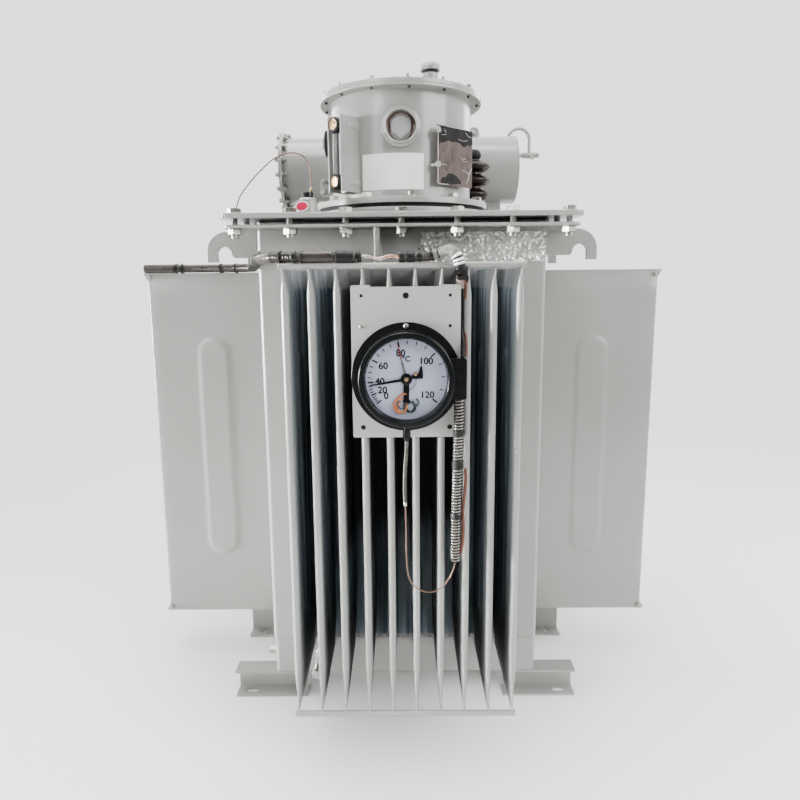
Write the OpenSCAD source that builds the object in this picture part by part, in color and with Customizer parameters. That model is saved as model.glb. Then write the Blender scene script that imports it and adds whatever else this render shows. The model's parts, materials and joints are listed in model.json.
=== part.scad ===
// Oil-filled transformer with pressed fin panels, a turret, a conservator drum and a dial thermometer.
// The origin is on the ground under the middle of the whole footprint. The front looks along -Y, +Z is up.

/* [Tank] */
// Width of the tank, side wall to side wall
tank_w = 588; // [520:1:680]
// Depth of the tank, front wall to rear wall
tank_d = 435; // [400:1:540]
// Thickness of the tank's walls and floor
wall = 5; // [4:0.5:8]
// Radius of the tank's upright corners
corner_r = 10; // [8:1:20]
// Height of the bottom pan
pan_h = 84; // [60:1:100]
// How far the pan is set in from the walls over it
pan_step = 2; // [1:0.5:3]

/* [Rim and cover] */
// How far the rim stands out from the walls
rim_out = 55; // [45:1:70]
// Thickness of the rim
rim_t = 6; // [5:1:12]
// Width of the limit strip on the rim and of the gasket over it
gasket_w = 16; // [12:1:30]
// Thickness of the limit strip
limit_t = 9; // [4:0.5:12]
// Thickness of the gasket
gasket_t = 3; // [1:0.5:4]
// How far the cover stands out from the walls
cover_out = 60; // [50:1:80]
// Thickness of the cover
cover_t = 10; // [8:1:16]
// Radius of the cover's corners
cover_r = 18; // [10:1:30]
// Thickness of the gusset under the rim
gusset_t = 10; // [6:1:14]
// How far the gusset stands out from the front wall
gusset_out = 44; // [30:1:50]
// Place of the gusset, left of the middle
gusset_x = 48; // [0:1:120]

/* [Lifting lugs] */
// Thickness of a lug
lug_t = 10; // [8:1:16]
// How far a lug reaches out from the side wall
lug_reach = 113; // [100:1:130]
// Height of a lug at the wall
lug_h = 54; // [46:1:58]
// Radius of the lug's outer shoulder
lug_r = 42; // [36:1:46]
// Width of the hook's tip
lug_tip_w = 21; // [16:1:24]
// How far the tip hangs below the rim
lug_drop = 63; // [58:1:72]
// Width of the notch for the sling
notch_w = 30; // [24:1:34]
// Distance of a lug's middle from the front or rear wall
lug_inset = 45; // [20:1:80]

/* [Feet] */
// Height of the feet
foot_h = 63; // [50:1:80]
// Width of the feet on the ground
foot_w = 40; // [34:1:50]
// Thickness of the feet
foot_t = 5; // [4:0.5:7]
// Length of one foot
foot_l = 163; // [140:1:200]
// How far the front feet stand out from the side walls
front_foot_out = 91; // [75:1:110]
// How far the rear feet stand out from the side walls
rear_foot_out = 118; // [90:1:125]
// Distance of the rear feet's front edge from the front wall
rear_foot_y = 243; // [200:1:340]
// Width of a fixing slot or hole
slot_w = 16; // [12:1:18]
// Length of a fixing slot
slot_l = 30; // [24:1:40]
// Distance of a fixing slot from the outer end of its foot
slot_inset = 32; // [24:1:45]

/* [Fins] */
// Distance from fin to fin
fin_pitch = 45; // [38:1:48]
// Thickness of a fin
fin_t = 13; // [9:1:16]
// Thickness of a fin's flattened ends
fin_end_t = 3; // [2:0.5:4]
// Height of a fin
fin_h = 825; // [700:1:900]
// Height of the fins' lower ends over the tank's floor
fin_lift = 69; // [50:1:80]
// Clear height from the fins' upper ends to the rim
fin_head = 83; // [60:1:120]
// Height over which a fin flattens at its top
fin_top_taper = 50; // [30:1:80]
// Height over which a fin flattens at its bottom
fin_bottom_taper = 85; // [50:1:110]
// How far the flattened corners flare out
flare = 9; // [4:1:14]
// Height of a flared corner
flare_h = 22; // [15:1:40]
// Number of fins on the front and on the rear
front_fins_n = 10; // [8:1:11]
// How far the front and rear fins stand out from the walls
front_fin_d = 214; // [160:1:260]
// Number of fins on each side
side_fins_n = 4; // [2:1:6]
// How far the side fins stand out from the walls
side_fin_d = 286; // [220:1:340]
// Width of the bead pressed into a fin, at its foot
bead_w = 78; // [50:1:100]
// Width of the slope round the bead
bead_slope = 15; // [8:1:20]
// Height that the bead stands proud
bead_t = 3; // [1:0.5:5]
// Length of the bead
bead_l = 532; // [420:1:600]
// Height of the bead's lower end over the fin's lower end
bead_lift = 148; // [110:1:180]
// Diameter of the bars and rods that tie the fins
bar_d = 11; // [8:1:14]
// How far a bar or rod runs past the outer fins
bar_past = 8; // [4:1:14]
// Height of the strip across the fins' lower ends
strip_h = 10; // [6:1:14]
// Thickness of that strip
strip_t = 5; // [3:0.5:8]
// How far that strip runs past the outer fins
strip_past = 4; // [2:1:8]

/* [Turret] */
// Gap between the turret's wall and the drum behind it
turret_gap = 50; // [36:1:60]
// Outer radius of the turret
turret_r = 155; // [150:1:165]
// Height of the turret's shell with its two flanges
turret_h = 230; // [210:1:260]
// Thickness of the turret's wall
turret_wall = 4; // [3:0.5:6]
// Radius of the lower flange and of the collar under it
turret_base_r = 192; // [186:1:196]
// Thickness of the lower flange
turret_base_t = 12; // [8:1:16]
// Height of the collar on the cover
collar_h = 15; // [12:1:24]
// Thickness of the gasket over the collar
seal_t = 8; // [4:1:10]
// How far that gasket is set in from the flange
seal_step = 8; // [4:1:14]
// Radius of the upper flange
turret_top_r = 178; // [172:1:186]
// Thickness of the upper flange
turret_top_t = 6; // [5:1:10]
// Thickness of the lid
lid_t = 8; // [6:1:12]

/* [Turret fittings] */
// Radius of the relief valve's cap
relief_r = 20; // [15:1:26]
// Height of the relief valve
relief_h = 53; // [45:1:65]
// Distance of the relief valve from the turret's axis
relief_out = 101; // [80:1:120]
// Direction of the relief valve, in degrees right of the front
relief_turn = 38; // [20:1:60]
// Outer radius of the sight glass
sight_r = 36; // [30:1:42]
// Radius of the glass itself
sight_glass_r = 27; // [22:1:28]
// How far the sight glass stands out
sight_out = 11; // [8:1:16]
// Height of the sight glass over the turret's lower edge
sight_z = 150; // [140:1:160]
// Radius of the plugged side port
port_r = 26; // [22:1:34]
// How far the side port stands out
port_out = 20; // [14:1:26]
// Direction of the level gauge, in degrees left of the front
level_turn = 40; // [32:1:45]
// How far the level gauge stands out
level_out = 53; // [44:1:64]
// Width of the level gauge's guard
level_w = 38; // [36:1:44]
// Height of the level gauge's guard
level_h = 148; // [130:1:170]
// Height of the level gauge over the turret's lower edge
level_z = 25; // [16:1:30]
// Thickness of the guard's sheet
guard_t = 3; // [2:0.5:4]
// Diameter of the gauge's glass tube
tube_d = 16; // [12:1:18]
// Diameter of the gauge's brass fittings
fitting_d = 30; // [22:1:30]
// Width of the blank plate
plate_w = 104; // [80:1:110]
// Height of the blank plate
plate_h = 116; // [100:1:150]
// Thickness of the blank plate
plate_t = 2; // [1:0.5:4]
// Direction of the blank plate, in degrees right of the front
plate_turn = 42; // [34:1:46]
// Height of the blank plate over the turret's lower edge
plate_z = 38; // [26:1:50]
// Gap between the turret and the blank plate
plate_gap = 10; // [8:1:18]
// Width of the earth pad
pad_w = 29; // [20:1:36]
// Height of the earth pad
pad_h = 40; // [30:1:50]
// Thickness of the earth pad
pad_t = 6; // [4:1:8]
// Height of the earth pad over the turret's lower edge
pad_z = 36; // [26:1:50]
// Diameter of the two bolt holes in the earth pad
pad_hole_d = 9; // [6:1:11]
// Distance between those holes
pad_hole_span = 22; // [16:1:24]

/* [Conservator] */
// Radius of the drum
drum_r = 87; // [76:1:92]
// Length of the drum, without its bolted end
drum_l = 614; // [560:1:700]
// How far the drum's middle lies left of the turret's axis
drum_shift = 4; // [0:1:12]
// How far the drum's axis lies behind the rear wall
drum_behind = 37; // [20:1:39]
// Height of the drum's axis over the cover
drum_z = 159; // [150:1:175]
// Thickness of the drum's shell
drum_wall = 4; // [3:0.5:6]
// Radius of the drum's bolted end
drum_flange_r = 101; // [96:1:110]
// Thickness of each of the two plates at the bolted end
drum_flange_t = 4.5; // [4:0.5:8]
// How far apart the drum's legs are
leg_span = 496; // [380:1:540]
// Thickness of a leg
leg_t = 8; // [6:1:12]
// Width of a leg
leg_w = 40; // [30:1:42]
// Diameter of the pipe from the drum to the cover
drop_pipe_d = 34; // [26:1:42]
// Diameter of the breather pipe
breather_d = 9; // [7:1:12]
// Radius of the breather pipe's bend
breather_r = 29; // [22:1:32]
// How far the middle of that bend lies below the drum's top
breather_sink = 8; // [4:1:14]
// Distance of the breather pipe from the drum's right end
breather_inset = 15; // [12:1:28]
// Diameter of the valve that the breather pipe ends in
valve_d = 16; // [13:1:20]
// Length of that valve
valve_l = 66; // [56:1:74]
// Height of that valve over the drum's axis
valve_z = 39; // [30:1:50]
// Radius of the lifting eye's ring
eye_r = 11.5; // [9:0.5:16]
// Thickness of the lifting eye's ring
eye_t = 9.5; // [6:0.5:11]
// How far the ring sinks into the drum
eye_sink = 5; // [3:1:8]
// Place of the lifting eye, right of the middle
eye_x = 196; // [150:1:250]

/* [Bushing] */
// Place of the bushing, right of the middle
bushing_x = 180; // [175:1:215]
// How far the bushing lies behind the turret's axis
bushing_behind = 155; // [145:1:160]
// Height of the porcelain
bushing_h = 161; // [150:1:190]
// Radius of the porcelain's core
bushing_r = 20; // [15:1:24]
// Radius of the sheds
shed_r = 42; // [34:1:44]
// Distance from shed to shed
shed_pitch = 34; // [30:1:36]
// Number of sheds
sheds_n = 4; // [2:1:4]
// Height of the rounded cap on the porcelain
bushing_cap_h = 27; // [20:1:36]

/* [Thermometer pocket] */
// Place of the pocket, left of the middle
pocket_x = 187; // [170:1:220]
// Diameter of the pocket
pocket_d = 39; // [32:1:46]
// Height of the pocket
pocket_h = 33; // [26:1:46]
// Diameter of the pocket's cap
cap_d = 22; // [18:1:26]
// Height of the pocket's cap
cap_h = 11; // [8:1:16]
// Diameter of the gland on the cap
gland_d = 7; // [5:1:9]
// Height of the gland
gland_h = 10; // [6:1:14]

/* [Dial thermometer] */
// Width of the plate that carries the thermometer
gauge_plate_w = 188; // [180:1:200]
// Height of that plate
gauge_plate_h = 266; // [240:1:300]
// Thickness of that plate
gauge_plate_t = 3; // [2:0.5:5]
// Width of the two tabs on the plate's upper edge
gauge_tab_w = 33; // [20:1:50]
// Height of those tabs
gauge_tab_h = 3; // [2:0.5:8]
// Radius of the plate's corners
gauge_plate_r = 4; // [2:1:10]
// Diameter of the plate's small screw holes
plate_hole_d = 6; // [4:0.5:8]
// Diameter of its lower fixing holes
plate_fixing_d = 9; // [6:0.5:11]
// Diameter of the hole under its upper edge
plate_bush_d = 11; // [8:0.5:14]
// Distance of the holes from the plate's edges
plate_hole_inset = 18; // [12:1:22]
// How far the middle pair of holes lies below the plate's upper edge
plate_middle_drop = 70; // [60:1:76]
// How far the plate's upper edge lies below the fins' upper ends
gauge_drop = 27; // [24:1:60]
// Place of the thermometer, right of the middle
gauge_x = 6; // [0:1:8]
// Height of the thermometer's middle over the plate's lower edge
gauge_lift = 108; // [100:1:130]
// Radius of the flange behind the case
gauge_flange_r = 95; // [90:1:98]
// Thickness of that flange
gauge_flange_t = 5; // [3:1:8]
// Radius of the case
case_r = 81; // [78:1:84]
// Depth of the case with its flange
case_d = 35; // [30:1:42]
// Thickness of the case's wall
case_wall = 6; // [4:0.5:8]
// Depth of the bezel
bezel_d = 11; // [8:1:16]
// Radius of the opening in the bezel
bezel_in_r = 68.5; // [64:0.5:70]
// Thickness of the glass
glass_t = 3; // [2:0.5:4]
// Thickness of the dial sheet
dial_t = 1.5; // [1:0.5:3]
// Length of the pointer
pointer_l = 56; // [40:1:60]
// Width of the terminal box
box_w = 21; // [16:1:30]
// Height of the terminal box
box_h = 70; // [56:1:84]
// Depth of the terminal box
box_d = 27; // [20:1:29]
// Diameter of the stem under the case
stem_d = 14; // [10:1:18]
// Length of the stem
stem_l = 28; // [20:1:40]

/* [Tank fittings] */
// Place of the drain pipe, left of the middle
drain_x = 180; // [150:1:220]
// Height of the drain pipe over the tank's floor
drain_z = 40; // [30:1:48]
// Diameter of the drain pipe
drain_d = 16; // [14:1:22]
// Length of the drain pipe
drain_l = 80; // [50:1:110]
// Diameter of the earth bolt
earth_d = 20; // [16:1:24]
// Length of the earth bolt
earth_l = 17; // [12:1:24]
// Height of the earth bolt over the tank's floor
earth_z = 40; // [25:1:55]
// Distance of the earth bolt from the front wall
earth_y = 25; // [18:1:40]

/* [Hoses] */
// Diameter of the long hose on the fins
hose_d = 19; // [14:1:22]
// Diameter of the short hose to the terminal box
short_hose_d = 17; // [12:1:20]
// Diameter of the bundled wires after each hose
wires_d = 6; // [4:1:6]
// Diameter of the hanging hose
hanging_d = 20; // [14:1:24]
// Diameter of the armoured capillary
armour_d = 7; // [5:1:9]
// Diameter of the thin capillaries
capillary_d = 2.6; // [2:0.2:4]

/* [Hidden] */

$fn = 64;
// Clearance where a piece seats on a round wall or on a rod
seat_gap = 0.3;
paint = "#b4b5b1";
dark = "#2a2b2c";
brass = "#b08a4a";

// Levels above the ground
floor_z = foot_h;
pan_z = floor_z + pan_h;
fin_z = floor_z + fin_lift;
fin_top_z = fin_z + fin_h;
rim_z = fin_top_z + fin_head;
limit_z = rim_z + rim_t;
gasket_z = limit_z + limit_t;
cover_z = gasket_z + gasket_t;
deck_z = cover_z + cover_t;
seal_z = deck_z + collar_h;
turret_z = seal_z + seal_t;
lid_z = turret_z + turret_h;

// Places in plan
front_reach = front_fin_d + gauge_plate_t + case_d + bezel_d;
rear_reach = front_fin_d + flare;
mid_y = (front_reach - rear_reach) / 2;
front_y = mid_y - tank_d / 2;
rear_y = mid_y + tank_d / 2;
side_x = tank_w / 2;
drum_axis_y = rear_y + drum_behind;
drum_axis_z = deck_z + drum_z;
axis_y = drum_axis_y - drum_r - turret_gap - turret_r;
gauge_back_y = front_y - front_fin_d - gauge_plate_t;
gauge_plate_z = fin_top_z - gauge_drop - gauge_plate_h;
gauge_z = gauge_plate_z + gauge_lift;
hose_seat_z = fin_top_z + bar_d;
rod_inset = bar_d / 2 + 3;

// Routes of the hoses and capillaries, by their middles
hose_route = [[-586, -46, 967], [-540, -47, 967], [-480, -47, 967], [-420, -50, 967], [-370, -62, 967],
    [-335, -95, 967], [-315, -145, 968], [-302, -200, 970], [-284, -270, 973], [-258, -340, 976],
    [-226, -388, 978], [-190, -404, 978], [-150, -405, 978], [-110, -405, 978], [-78, -405, 977]];
wires_route = [[-78, -405, 977], [-60, -404, 979], [-40, -405, 975], [-20, -404, 979], [-6, -405, 977]];
short_hose_route = [[-6, -405, 977], [20, -405, 977], [46, -405, 978], [64, -408, 983], [80, -415, 987],
    [91, -421, 979], [97, -421, 963], [99, -419, 949]];
box_wires_route = [[99, -419, 949], [100, -408, 943], [101, -404, 930], [102, -403, 900], [102, -404, 865],
    [103, -409, 845], [105, -416, 828], [104, -424, 815], [103, -428, 807]];
hanging_route = [[97, -430, 737], [97, -430, 705], [96, -428, 650], [95, -427, 600], [94, -426, 550],
    [93, -426, 500], [92, -426, 440]];
armour_route = [[6, -432, 663], [5, -430, 640], [3, -427, 610], [2, -426, 580], [3, -426, 540]];
loop_route = [[3, -426, 540], [4, -426, 500], [4, -426, 460], [5, -426, 430], [9, -426, 405], [20, -426, 387],
    [36, -426, 378], [54, -426, 378], [72, -426, 390], [84, -426, 408], [90, -426, 425], [92, -426, 440]];
cover_capillary_route = [[-180, -197, 1122], [-180, -197, 1145], [-182, -197, 1160], [-187, -197, 1173],
    [-196, -197, 1183], [-209, -197, 1188], [-225, -197, 1188], [-243, -197, 1182], [-261, -198, 1171],
    [-293, -200, 1141], [-318, -204, 1110], [-327, -208, 1088], [-330, -210, 1068]];

// A rectangle with round corners, centred
module round_rect(w, d, r) {
    square([w - 2 * r, d], center = true);
    square([w, d - 2 * r], center = true);
    for (x = [-1, 1], y = [-1, 1])
        translate([x * (w / 2 - r), y * (d / 2 - r)]) circle(r = r);
}

// A plate that follows the tank's outline and stands out from it
module outline_plate(out, t, r) {
    translate([0, mid_y, 0]) linear_extrude(t) round_rect(tank_w + 2 * out, tank_d + 2 * out, r);
}

module ring(r_out, r_in, h) {
    difference() {
        cylinder(r = r_out, h = h);
        translate([0, 0, -1]) cylinder(r = r_in, h = h + 2);
    }
}

function unit(v) = v / norm(v);
function last(list) = len(list) - 1;
function along(path, i) = unit(path[min(i + 1, last(path))] - path[max(i - 1, 0)]);
function across(t) = unit(cross(t, abs(t[2]) > 0.8 ? [0, 1, 0] : [0, 0, 1]));

// A round tube that follows a route
module tube(path, d, sides = 10) {
    points = [for (i = [0:last(path)]) let (t = along(path, i), u = across(t), v = cross(u, t))
        for (k = [0:sides - 1]) path[i] + d / 2 * (cos(360 * k / sides) * u + sin(360 * k / sides) * v)];
    skin = [for (i = [0:last(path) - 1], k = [0:sides - 1]) let (n = (k + 1) % sides)
        [i * sides + k, i * sides + n, (i + 1) * sides + n, (i + 1) * sides + k]];
    start = [for (k = [sides - 1:-1:0]) k];
    end = [for (k = [0:sides - 1]) last(path) * sides + k];
    polyhedron(points, concat([start], skin, [end]));
}

module tank_shell() {
    color(paint) translate([0, mid_y, pan_z]) linear_extrude(rim_z - pan_z) difference() {
        round_rect(tank_w, tank_d, corner_r);
        round_rect(tank_w - 2 * wall, tank_d - 2 * wall, corner_r - wall);
    }
}

module tank_pan() {
    color(paint) translate([0, 0, floor_z]) difference() {
        outline_plate(-pan_step, pan_h, corner_r);
        translate([0, 0, wall]) outline_plate(-pan_step - wall, pan_h, corner_r - wall);
    }
}

module tank_rim() {
    color(paint) translate([0, 0, rim_z]) difference() {
        outline_plate(rim_out, rim_t, cover_r);
        translate([0, 0, -1]) outline_plate(-gasket_w, rim_t + 2, corner_r - wall);
    }
}

// A flat frame on the rim, flush with the walls outside
module rim_frame(t) {
    difference() {
        outline_plate(0, t, corner_r);
        translate([0, 0, -1]) outline_plate(-gasket_w, t + 2, corner_r - wall);
    }
}

module limit_strip() {
    color(paint) translate([0, 0, limit_z]) rim_frame(limit_t);
}

module cover_gasket() {
    color(dark) translate([0, 0, gasket_z]) rim_frame(gasket_t);
}

module cover() {
    color(paint) translate([0, 0, cover_z]) outline_plate(cover_out, cover_t, cover_r);
}

module rim_gusset() {
    foot = rim_z - hose_seat_z;
    color(paint) translate([-gusset_x - gusset_t / 2, front_y, rim_z]) rotate([90, 0, 90])
        linear_extrude(gusset_t) polygon([[0, 0], [-gusset_out, 0], [-gusset_out, -foot * 0.3],
            [-gusset_out * 0.4, -foot], [0, -foot]]);
}

// A hooked lifting lug, drawn outwards along +X from the wall and down from the rim
module lug() {
    notch_r = notch_w / 2;
    notch_x = lug_reach - lug_tip_w - notch_r;
    notch_z = -lug_h + 8;
    translate([0, lug_t / 2, 0]) rotate([90, 0, 0]) linear_extrude(lug_t) difference() {
        union() {
            translate([0, -lug_h]) square([notch_x, lug_h]);
            translate([0, -lug_r]) square([lug_reach - lug_r, lug_r]);
            translate([lug_reach - lug_r, -lug_r]) intersection() {
                circle(r = lug_r);
                square(lug_r);
            }
            translate([notch_x, -lug_drop]) square([lug_reach - notch_x, lug_drop - lug_r]);
        }
        translate([notch_x, notch_z]) circle(r = notch_r);
        polygon([[notch_x - notch_r, notch_z], [notch_x + notch_r, notch_z],
            [notch_x + notch_r, -lug_drop - 30], [notch_x - notch_r - 6, -lug_drop - 30],
            [notch_x - notch_r - 6, -lug_h - 2]]);
    }
}

module placed_lug(side, end) {
    color(paint) translate([side * side_x, mid_y + end * (tank_d / 2 - lug_inset), rim_z])
        rotate([0, 0, side > 0 ? 0 : 180]) lug();
}

module front_lugs() {
    for (side = [-1, 1]) placed_lug(side, -1);
}

module rear_lugs() {
    for (side = [-1, 1]) placed_lug(side, 1);
}

// A fixing slot along X, cut through the sole of a foot
module slot(l) {
    translate([0, 0, -1]) {
        for (s = [-1, 1]) translate([s * (l - slot_w) / 2, 0, 0]) cylinder(d = slot_w, h = foot_t + 2);
        if (l > slot_w) translate([-(l - slot_w) / 2, -slot_w / 2, 0]) cube([l - slot_w, slot_w, foot_t + 2]);
    }
}

// A length of angle with its sole to the front
module angle_bar() {
    cube([foot_l, foot_w, foot_t]);
    translate([0, foot_w - foot_t, 0]) cube([foot_l, foot_t, foot_h]);
}

module front_feet() {
    outer = side_x + front_foot_out;
    color(paint) for (side = [-1, 1]) translate([side < 0 ? -outer : outer - foot_l, front_y + pan_step, 0])
        difference() {
            union() {
                angle_bar();
                translate([0, 0, foot_h - foot_t]) cube([foot_l, foot_w, foot_t]);
            }
            translate([side < 0 ? slot_inset : foot_l - slot_inset, (foot_w - foot_t) / 2, 0]) slot(slot_l);
        }
}

module rear_feet() {
    outer = side_x + rear_foot_out;
    left = [-outer, outer - foot_l];
    color(paint) for (side = [-1, 1]) translate([left[side < 0 ? 0 : 1], front_y + rear_foot_y, 0])
        difference() {
            angle_bar();
            translate([side < 0 ? slot_inset : foot_l - slot_inset, (foot_w - foot_t) / 2, -1])
                cylinder(d = slot_w, h = foot_t + 2);
        }
}

// A bead pressed out of a fin's face, raised along +X, with its lower end at the origin's height
module bead() {
    low = bead_w / 2;
    top = low - bead_slope;
    hull() for (z = [low, bead_l - low]) translate([0, 0, z]) rotate([0, 90, 0]) {
        cylinder(r = low, h = 0.01, $fn = 16);
        cylinder(r = top, h = bead_t, $fn = 16);
    }
}

// One fin's body, standing out along -Y from the wall, with its lower end at the origin's height
module fin_body(d) {
    r = fin_t / 2;
    e = fin_end_t / 2;
    levels = [[0, e], [fin_bottom_taper, r], [fin_h - fin_top_taper, r], [fin_h, e]];
    hull() for (level = levels) translate([0, 0, min(level[0], fin_h - 0.01)]) {
        translate([-level[1], -1, 0]) cube([2 * level[1], 1, 0.01]);
        translate([0, -d + level[1], 0]) cylinder(r = level[1], h = 0.01, $fn = 16);
    }
    for (s = [0, 1]) translate([-e, 0, s * fin_h]) mirror([0, 0, s])
        rotate([90, 0, 90]) linear_extrude(fin_end_t)
            polygon([[-d + flare_h, 0], [-d - flare, 0], [-d - flare, 3], [-d, flare_h],
                [-d + flare_h, flare_h]]);
    for (s = [-1, 1]) translate([s * (r - 0.02), -d / 2, bead_lift]) rotate([0, 0, s > 0 ? 0 : 180]) bead();
}

// One fin, with holes for the tie rods where it has them
module fin(d, tied) {
    difference() {
        fin_body(d);
        if (tied) at_rods(d) cylinder(d = bar_d + 2 * seat_gap, h = 2 * fin_t, center = true, $fn = 24);
    }
}

// The two places of the tie rods on a fin, with the rods' axes along Z
module at_rods(d) {
    for (z = [rod_inset, fin_h - rod_inset])
        translate([0, -d + rod_inset / 2, z]) rotate([0, 90, 0]) children();
}

// The tank's four walls, each turned to face -Y: the front and rear at tank_d / 2, the sides at side_x
module at_wall(turn) {
    translate([0, mid_y, 0]) rotate([0, 0, turn]) translate([0, turn % 180 == 0 ? -tank_d / 2 : -side_x, 0])
        children();
}

// A row of fins along X, standing on a wall that faces -Y
module fin_row(n, d, tied = false) {
    for (i = [0:n - 1]) translate([(i - (n - 1) / 2) * fin_pitch, 0, fin_z]) fin(d, tied);
}

module front_fins() {
    color(paint) at_wall(0) fin_row(front_fins_n, front_fin_d);
}

module rear_fins() {
    color(paint) at_wall(180) fin_row(front_fins_n, front_fin_d);
}

module left_fins() {
    color(paint) at_wall(-90) fin_row(side_fins_n, side_fin_d, true);
}

module right_fins() {
    color(paint) at_wall(90) fin_row(side_fins_n, side_fin_d, true);
}

// The bar on the fins' upper corners and the strip under their lower corners
module bars(n, d) {
    row = (n - 1) * fin_pitch + fin_end_t;
    bar_l = row + 2 * bar_past;
    strip_l = row + 2 * strip_past;
    translate([-bar_l / 2, -d + bar_d / 2, fin_top_z + bar_d / 2]) rotate([0, 90, 0])
        cylinder(d = bar_d, h = bar_l);
    translate([-strip_l / 2, -d - flare, fin_z - strip_h]) cube([strip_l, strip_t, strip_h]);
}

module front_bars() {
    color(paint) at_wall(0) bars(front_fins_n, front_fin_d);
}

module rear_bars() {
    color(paint) at_wall(180) bars(front_fins_n, front_fin_d);
}

// The rods through the outer corners of the side panels
module side_rods() {
    l = (side_fins_n - 1) * fin_pitch + fin_end_t + 2 * bar_past;
    color(paint) for (turn = [-90, 90]) at_wall(turn) translate([0, 0, fin_z]) at_rods(side_fin_d)
        cylinder(d = bar_d, h = l, center = true);
}

// The turret's own frame: its axis along Z, the front towards -Y
module at_turret(z, turn = 0) {
    translate([0, axis_y, z]) rotate([0, 0, turn]) children();
}

module turret_collar() {
    color(paint) at_turret(deck_z) ring(turret_base_r, turret_r - turret_wall, collar_h);
}

module turret_gasket() {
    color(dark) at_turret(seal_z) ring(turret_base_r - seal_step, turret_r - turret_wall, seal_t);
}

module turret_shell() {
    inner = turret_r - turret_wall;
    color(paint) at_turret(turret_z) rotate_extrude() polygon([[inner, 0], [turret_base_r, 0],
        [turret_base_r, turret_base_t], [turret_r, turret_base_t], [turret_r, turret_h - turret_top_t],
        [turret_top_r, turret_h - turret_top_t], [turret_top_r, turret_h], [inner, turret_h]]);
}

module turret_lid() {
    color(paint) at_turret(lid_z) rotate_extrude() polygon([[0, 0], [turret_top_r, 0],
        [turret_top_r, lid_t - 1], [turret_top_r - 1, lid_t], [0, lid_t]]);
}

module relief_valve() {
    neck = relief_r - 6;
    skirt = relief_h - 26;
    color(paint) at_turret(lid_z + lid_t, relief_turn) translate([0, -relief_out, 0]) rotate_extrude()
        polygon([[0, 0], [relief_r + 2, 0], [relief_r + 2, 6], [neck, 6], [neck, skirt], [relief_r, skirt],
            [relief_r, relief_h - 8], [relief_r - 8, relief_h - 8], [relief_r - 8, relief_h], [0, relief_h]]);
}

// A round boss that stands out from the turret's wall along -Y
module wall_boss(r, out) {
    difference() {
        rotate([90, 0, 0]) cylinder(r = r, h = turret_r + out, $fn = 128);
        translate([0, 0, -r - 1]) cylinder(r = turret_r + seat_gap, h = 2 * r + 2, $fn = 128);
    }
}

module sight_bezel() {
    color(paint) at_turret(turret_z + sight_z) difference() {
        wall_boss(sight_r, sight_out);
        rotate([90, 0, 0]) cylinder(r = sight_glass_r, h = turret_r + sight_out + 1);
    }
}

module sight_glass() {
    color("#5a4034") at_turret(turret_z + sight_z) wall_boss(sight_glass_r, sight_out - 4);
}

module side_port() {
    color(dark) at_turret(turret_z + sight_z, -90) {
        wall_boss(port_r, port_out / 2);
        translate([0, -turret_r - port_out / 2, 0]) rotate([90, 0, 0])
            cylinder(r1 = port_r - 10, r2 = port_r - 14, h = port_out / 2);
    }
}

// The level gauge's own frame: standing out along -Y from the turret's wall
module at_level(z) {
    at_turret(turret_z + level_z + z, -level_turn) children();
}

module level_guard() {
    inner_w = level_w - 2 * guard_t;
    color(paint) at_level(0) difference() {
        translate([-level_w / 2, -turret_r - level_out, 0]) cube([level_w, turret_r + level_out, level_h]);
        translate([-inner_w / 2, -turret_r - level_out - 1, -1])
            cube([inner_w, level_out - guard_t - 1, level_h + 2]);
        translate([0, 0, -1]) cylinder(r = turret_r, h = level_h + 2);
    }
}

module level_fittings() {
    back = turret_r + guard_t + 2;
    length = level_out - 2;
    r = fitting_d / 2;
    color(brass) at_level(0) for (z = [r + 4, level_h - r - 4]) translate([0, -back, z]) rotate([90, 0, 0])
        rotate_extrude() polygon([[0, 0], [r, 0], [r, 6], [r - 5, 8], [r - 5, length - 24], [r, length - 22],
            [r, length - 2], [r - 2, length], [r - 5, length], [r - 6, length - 3], [0, length - 3]]);
}

module level_tube() {
    end = fitting_d + 4;
    color("white") at_level(end) translate([0, -turret_r - level_out + fitting_d / 2, 0])
        cylinder(d = tube_d, h = level_h - 2 * end);
}

// The blank plate's own frame: its back at the turret's gap, facing -Y
module at_plate(z) {
    at_turret(turret_z + plate_z + z, plate_turn) children();
}

module blank_plate() {
    color(dark) at_plate(0) translate([-plate_w / 2, -turret_r - plate_gap - plate_t, 0])
        cube([plate_w, plate_t, plate_h]);
}

module plate_bracket() {
    depth = turret_r + plate_gap;
    color(paint) at_plate(0) difference() {
        for (z = [plate_h * 0.2, plate_h * 0.8])
            translate([-plate_w / 3, -depth, z - 8]) cube([plate_w * 2 / 3, depth, 16]);
        cylinder(r = turret_r, h = plate_h);
    }
}

module earth_pad() {
    out = turret_r + pad_w;
    color(paint) at_turret(turret_z + pad_z, -90) difference() {
        translate([-pad_t / 2, 0, pad_h / 2]) rotate([90, 0, 90]) linear_extrude(pad_t) difference() {
            round_rect(2 * out, pad_h, pad_h / 4);
            for (s = [-1, 1]) translate([-out + pad_h / 4, s * pad_hole_span / 2]) circle(d = pad_hole_d);
        }
        translate([0, 0, -1]) cylinder(r = turret_r, h = pad_h + 2);
        translate([-pad_t, 0, -1]) cube([2 * pad_t, 2 * out, pad_h + 2]);
    }
}

// The drum's own frame: its axis along X from the middle
module at_drum(x) {
    translate([x, drum_axis_y, drum_axis_z]) rotate([0, 90, 0]) children();
}

drum_left = -drum_shift - drum_l / 2;
drum_right = drum_left + drum_l;

module drum_shell() {
    color(paint) at_drum(drum_left) difference() {
        union() {
            cylinder(r = drum_r, h = drum_l);
            cylinder(r = drum_flange_r, h = drum_flange_t);
        }
        translate([0, 0, -1]) cylinder(r = drum_r - drum_wall, h = drum_l + 2);
    }
}

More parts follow.
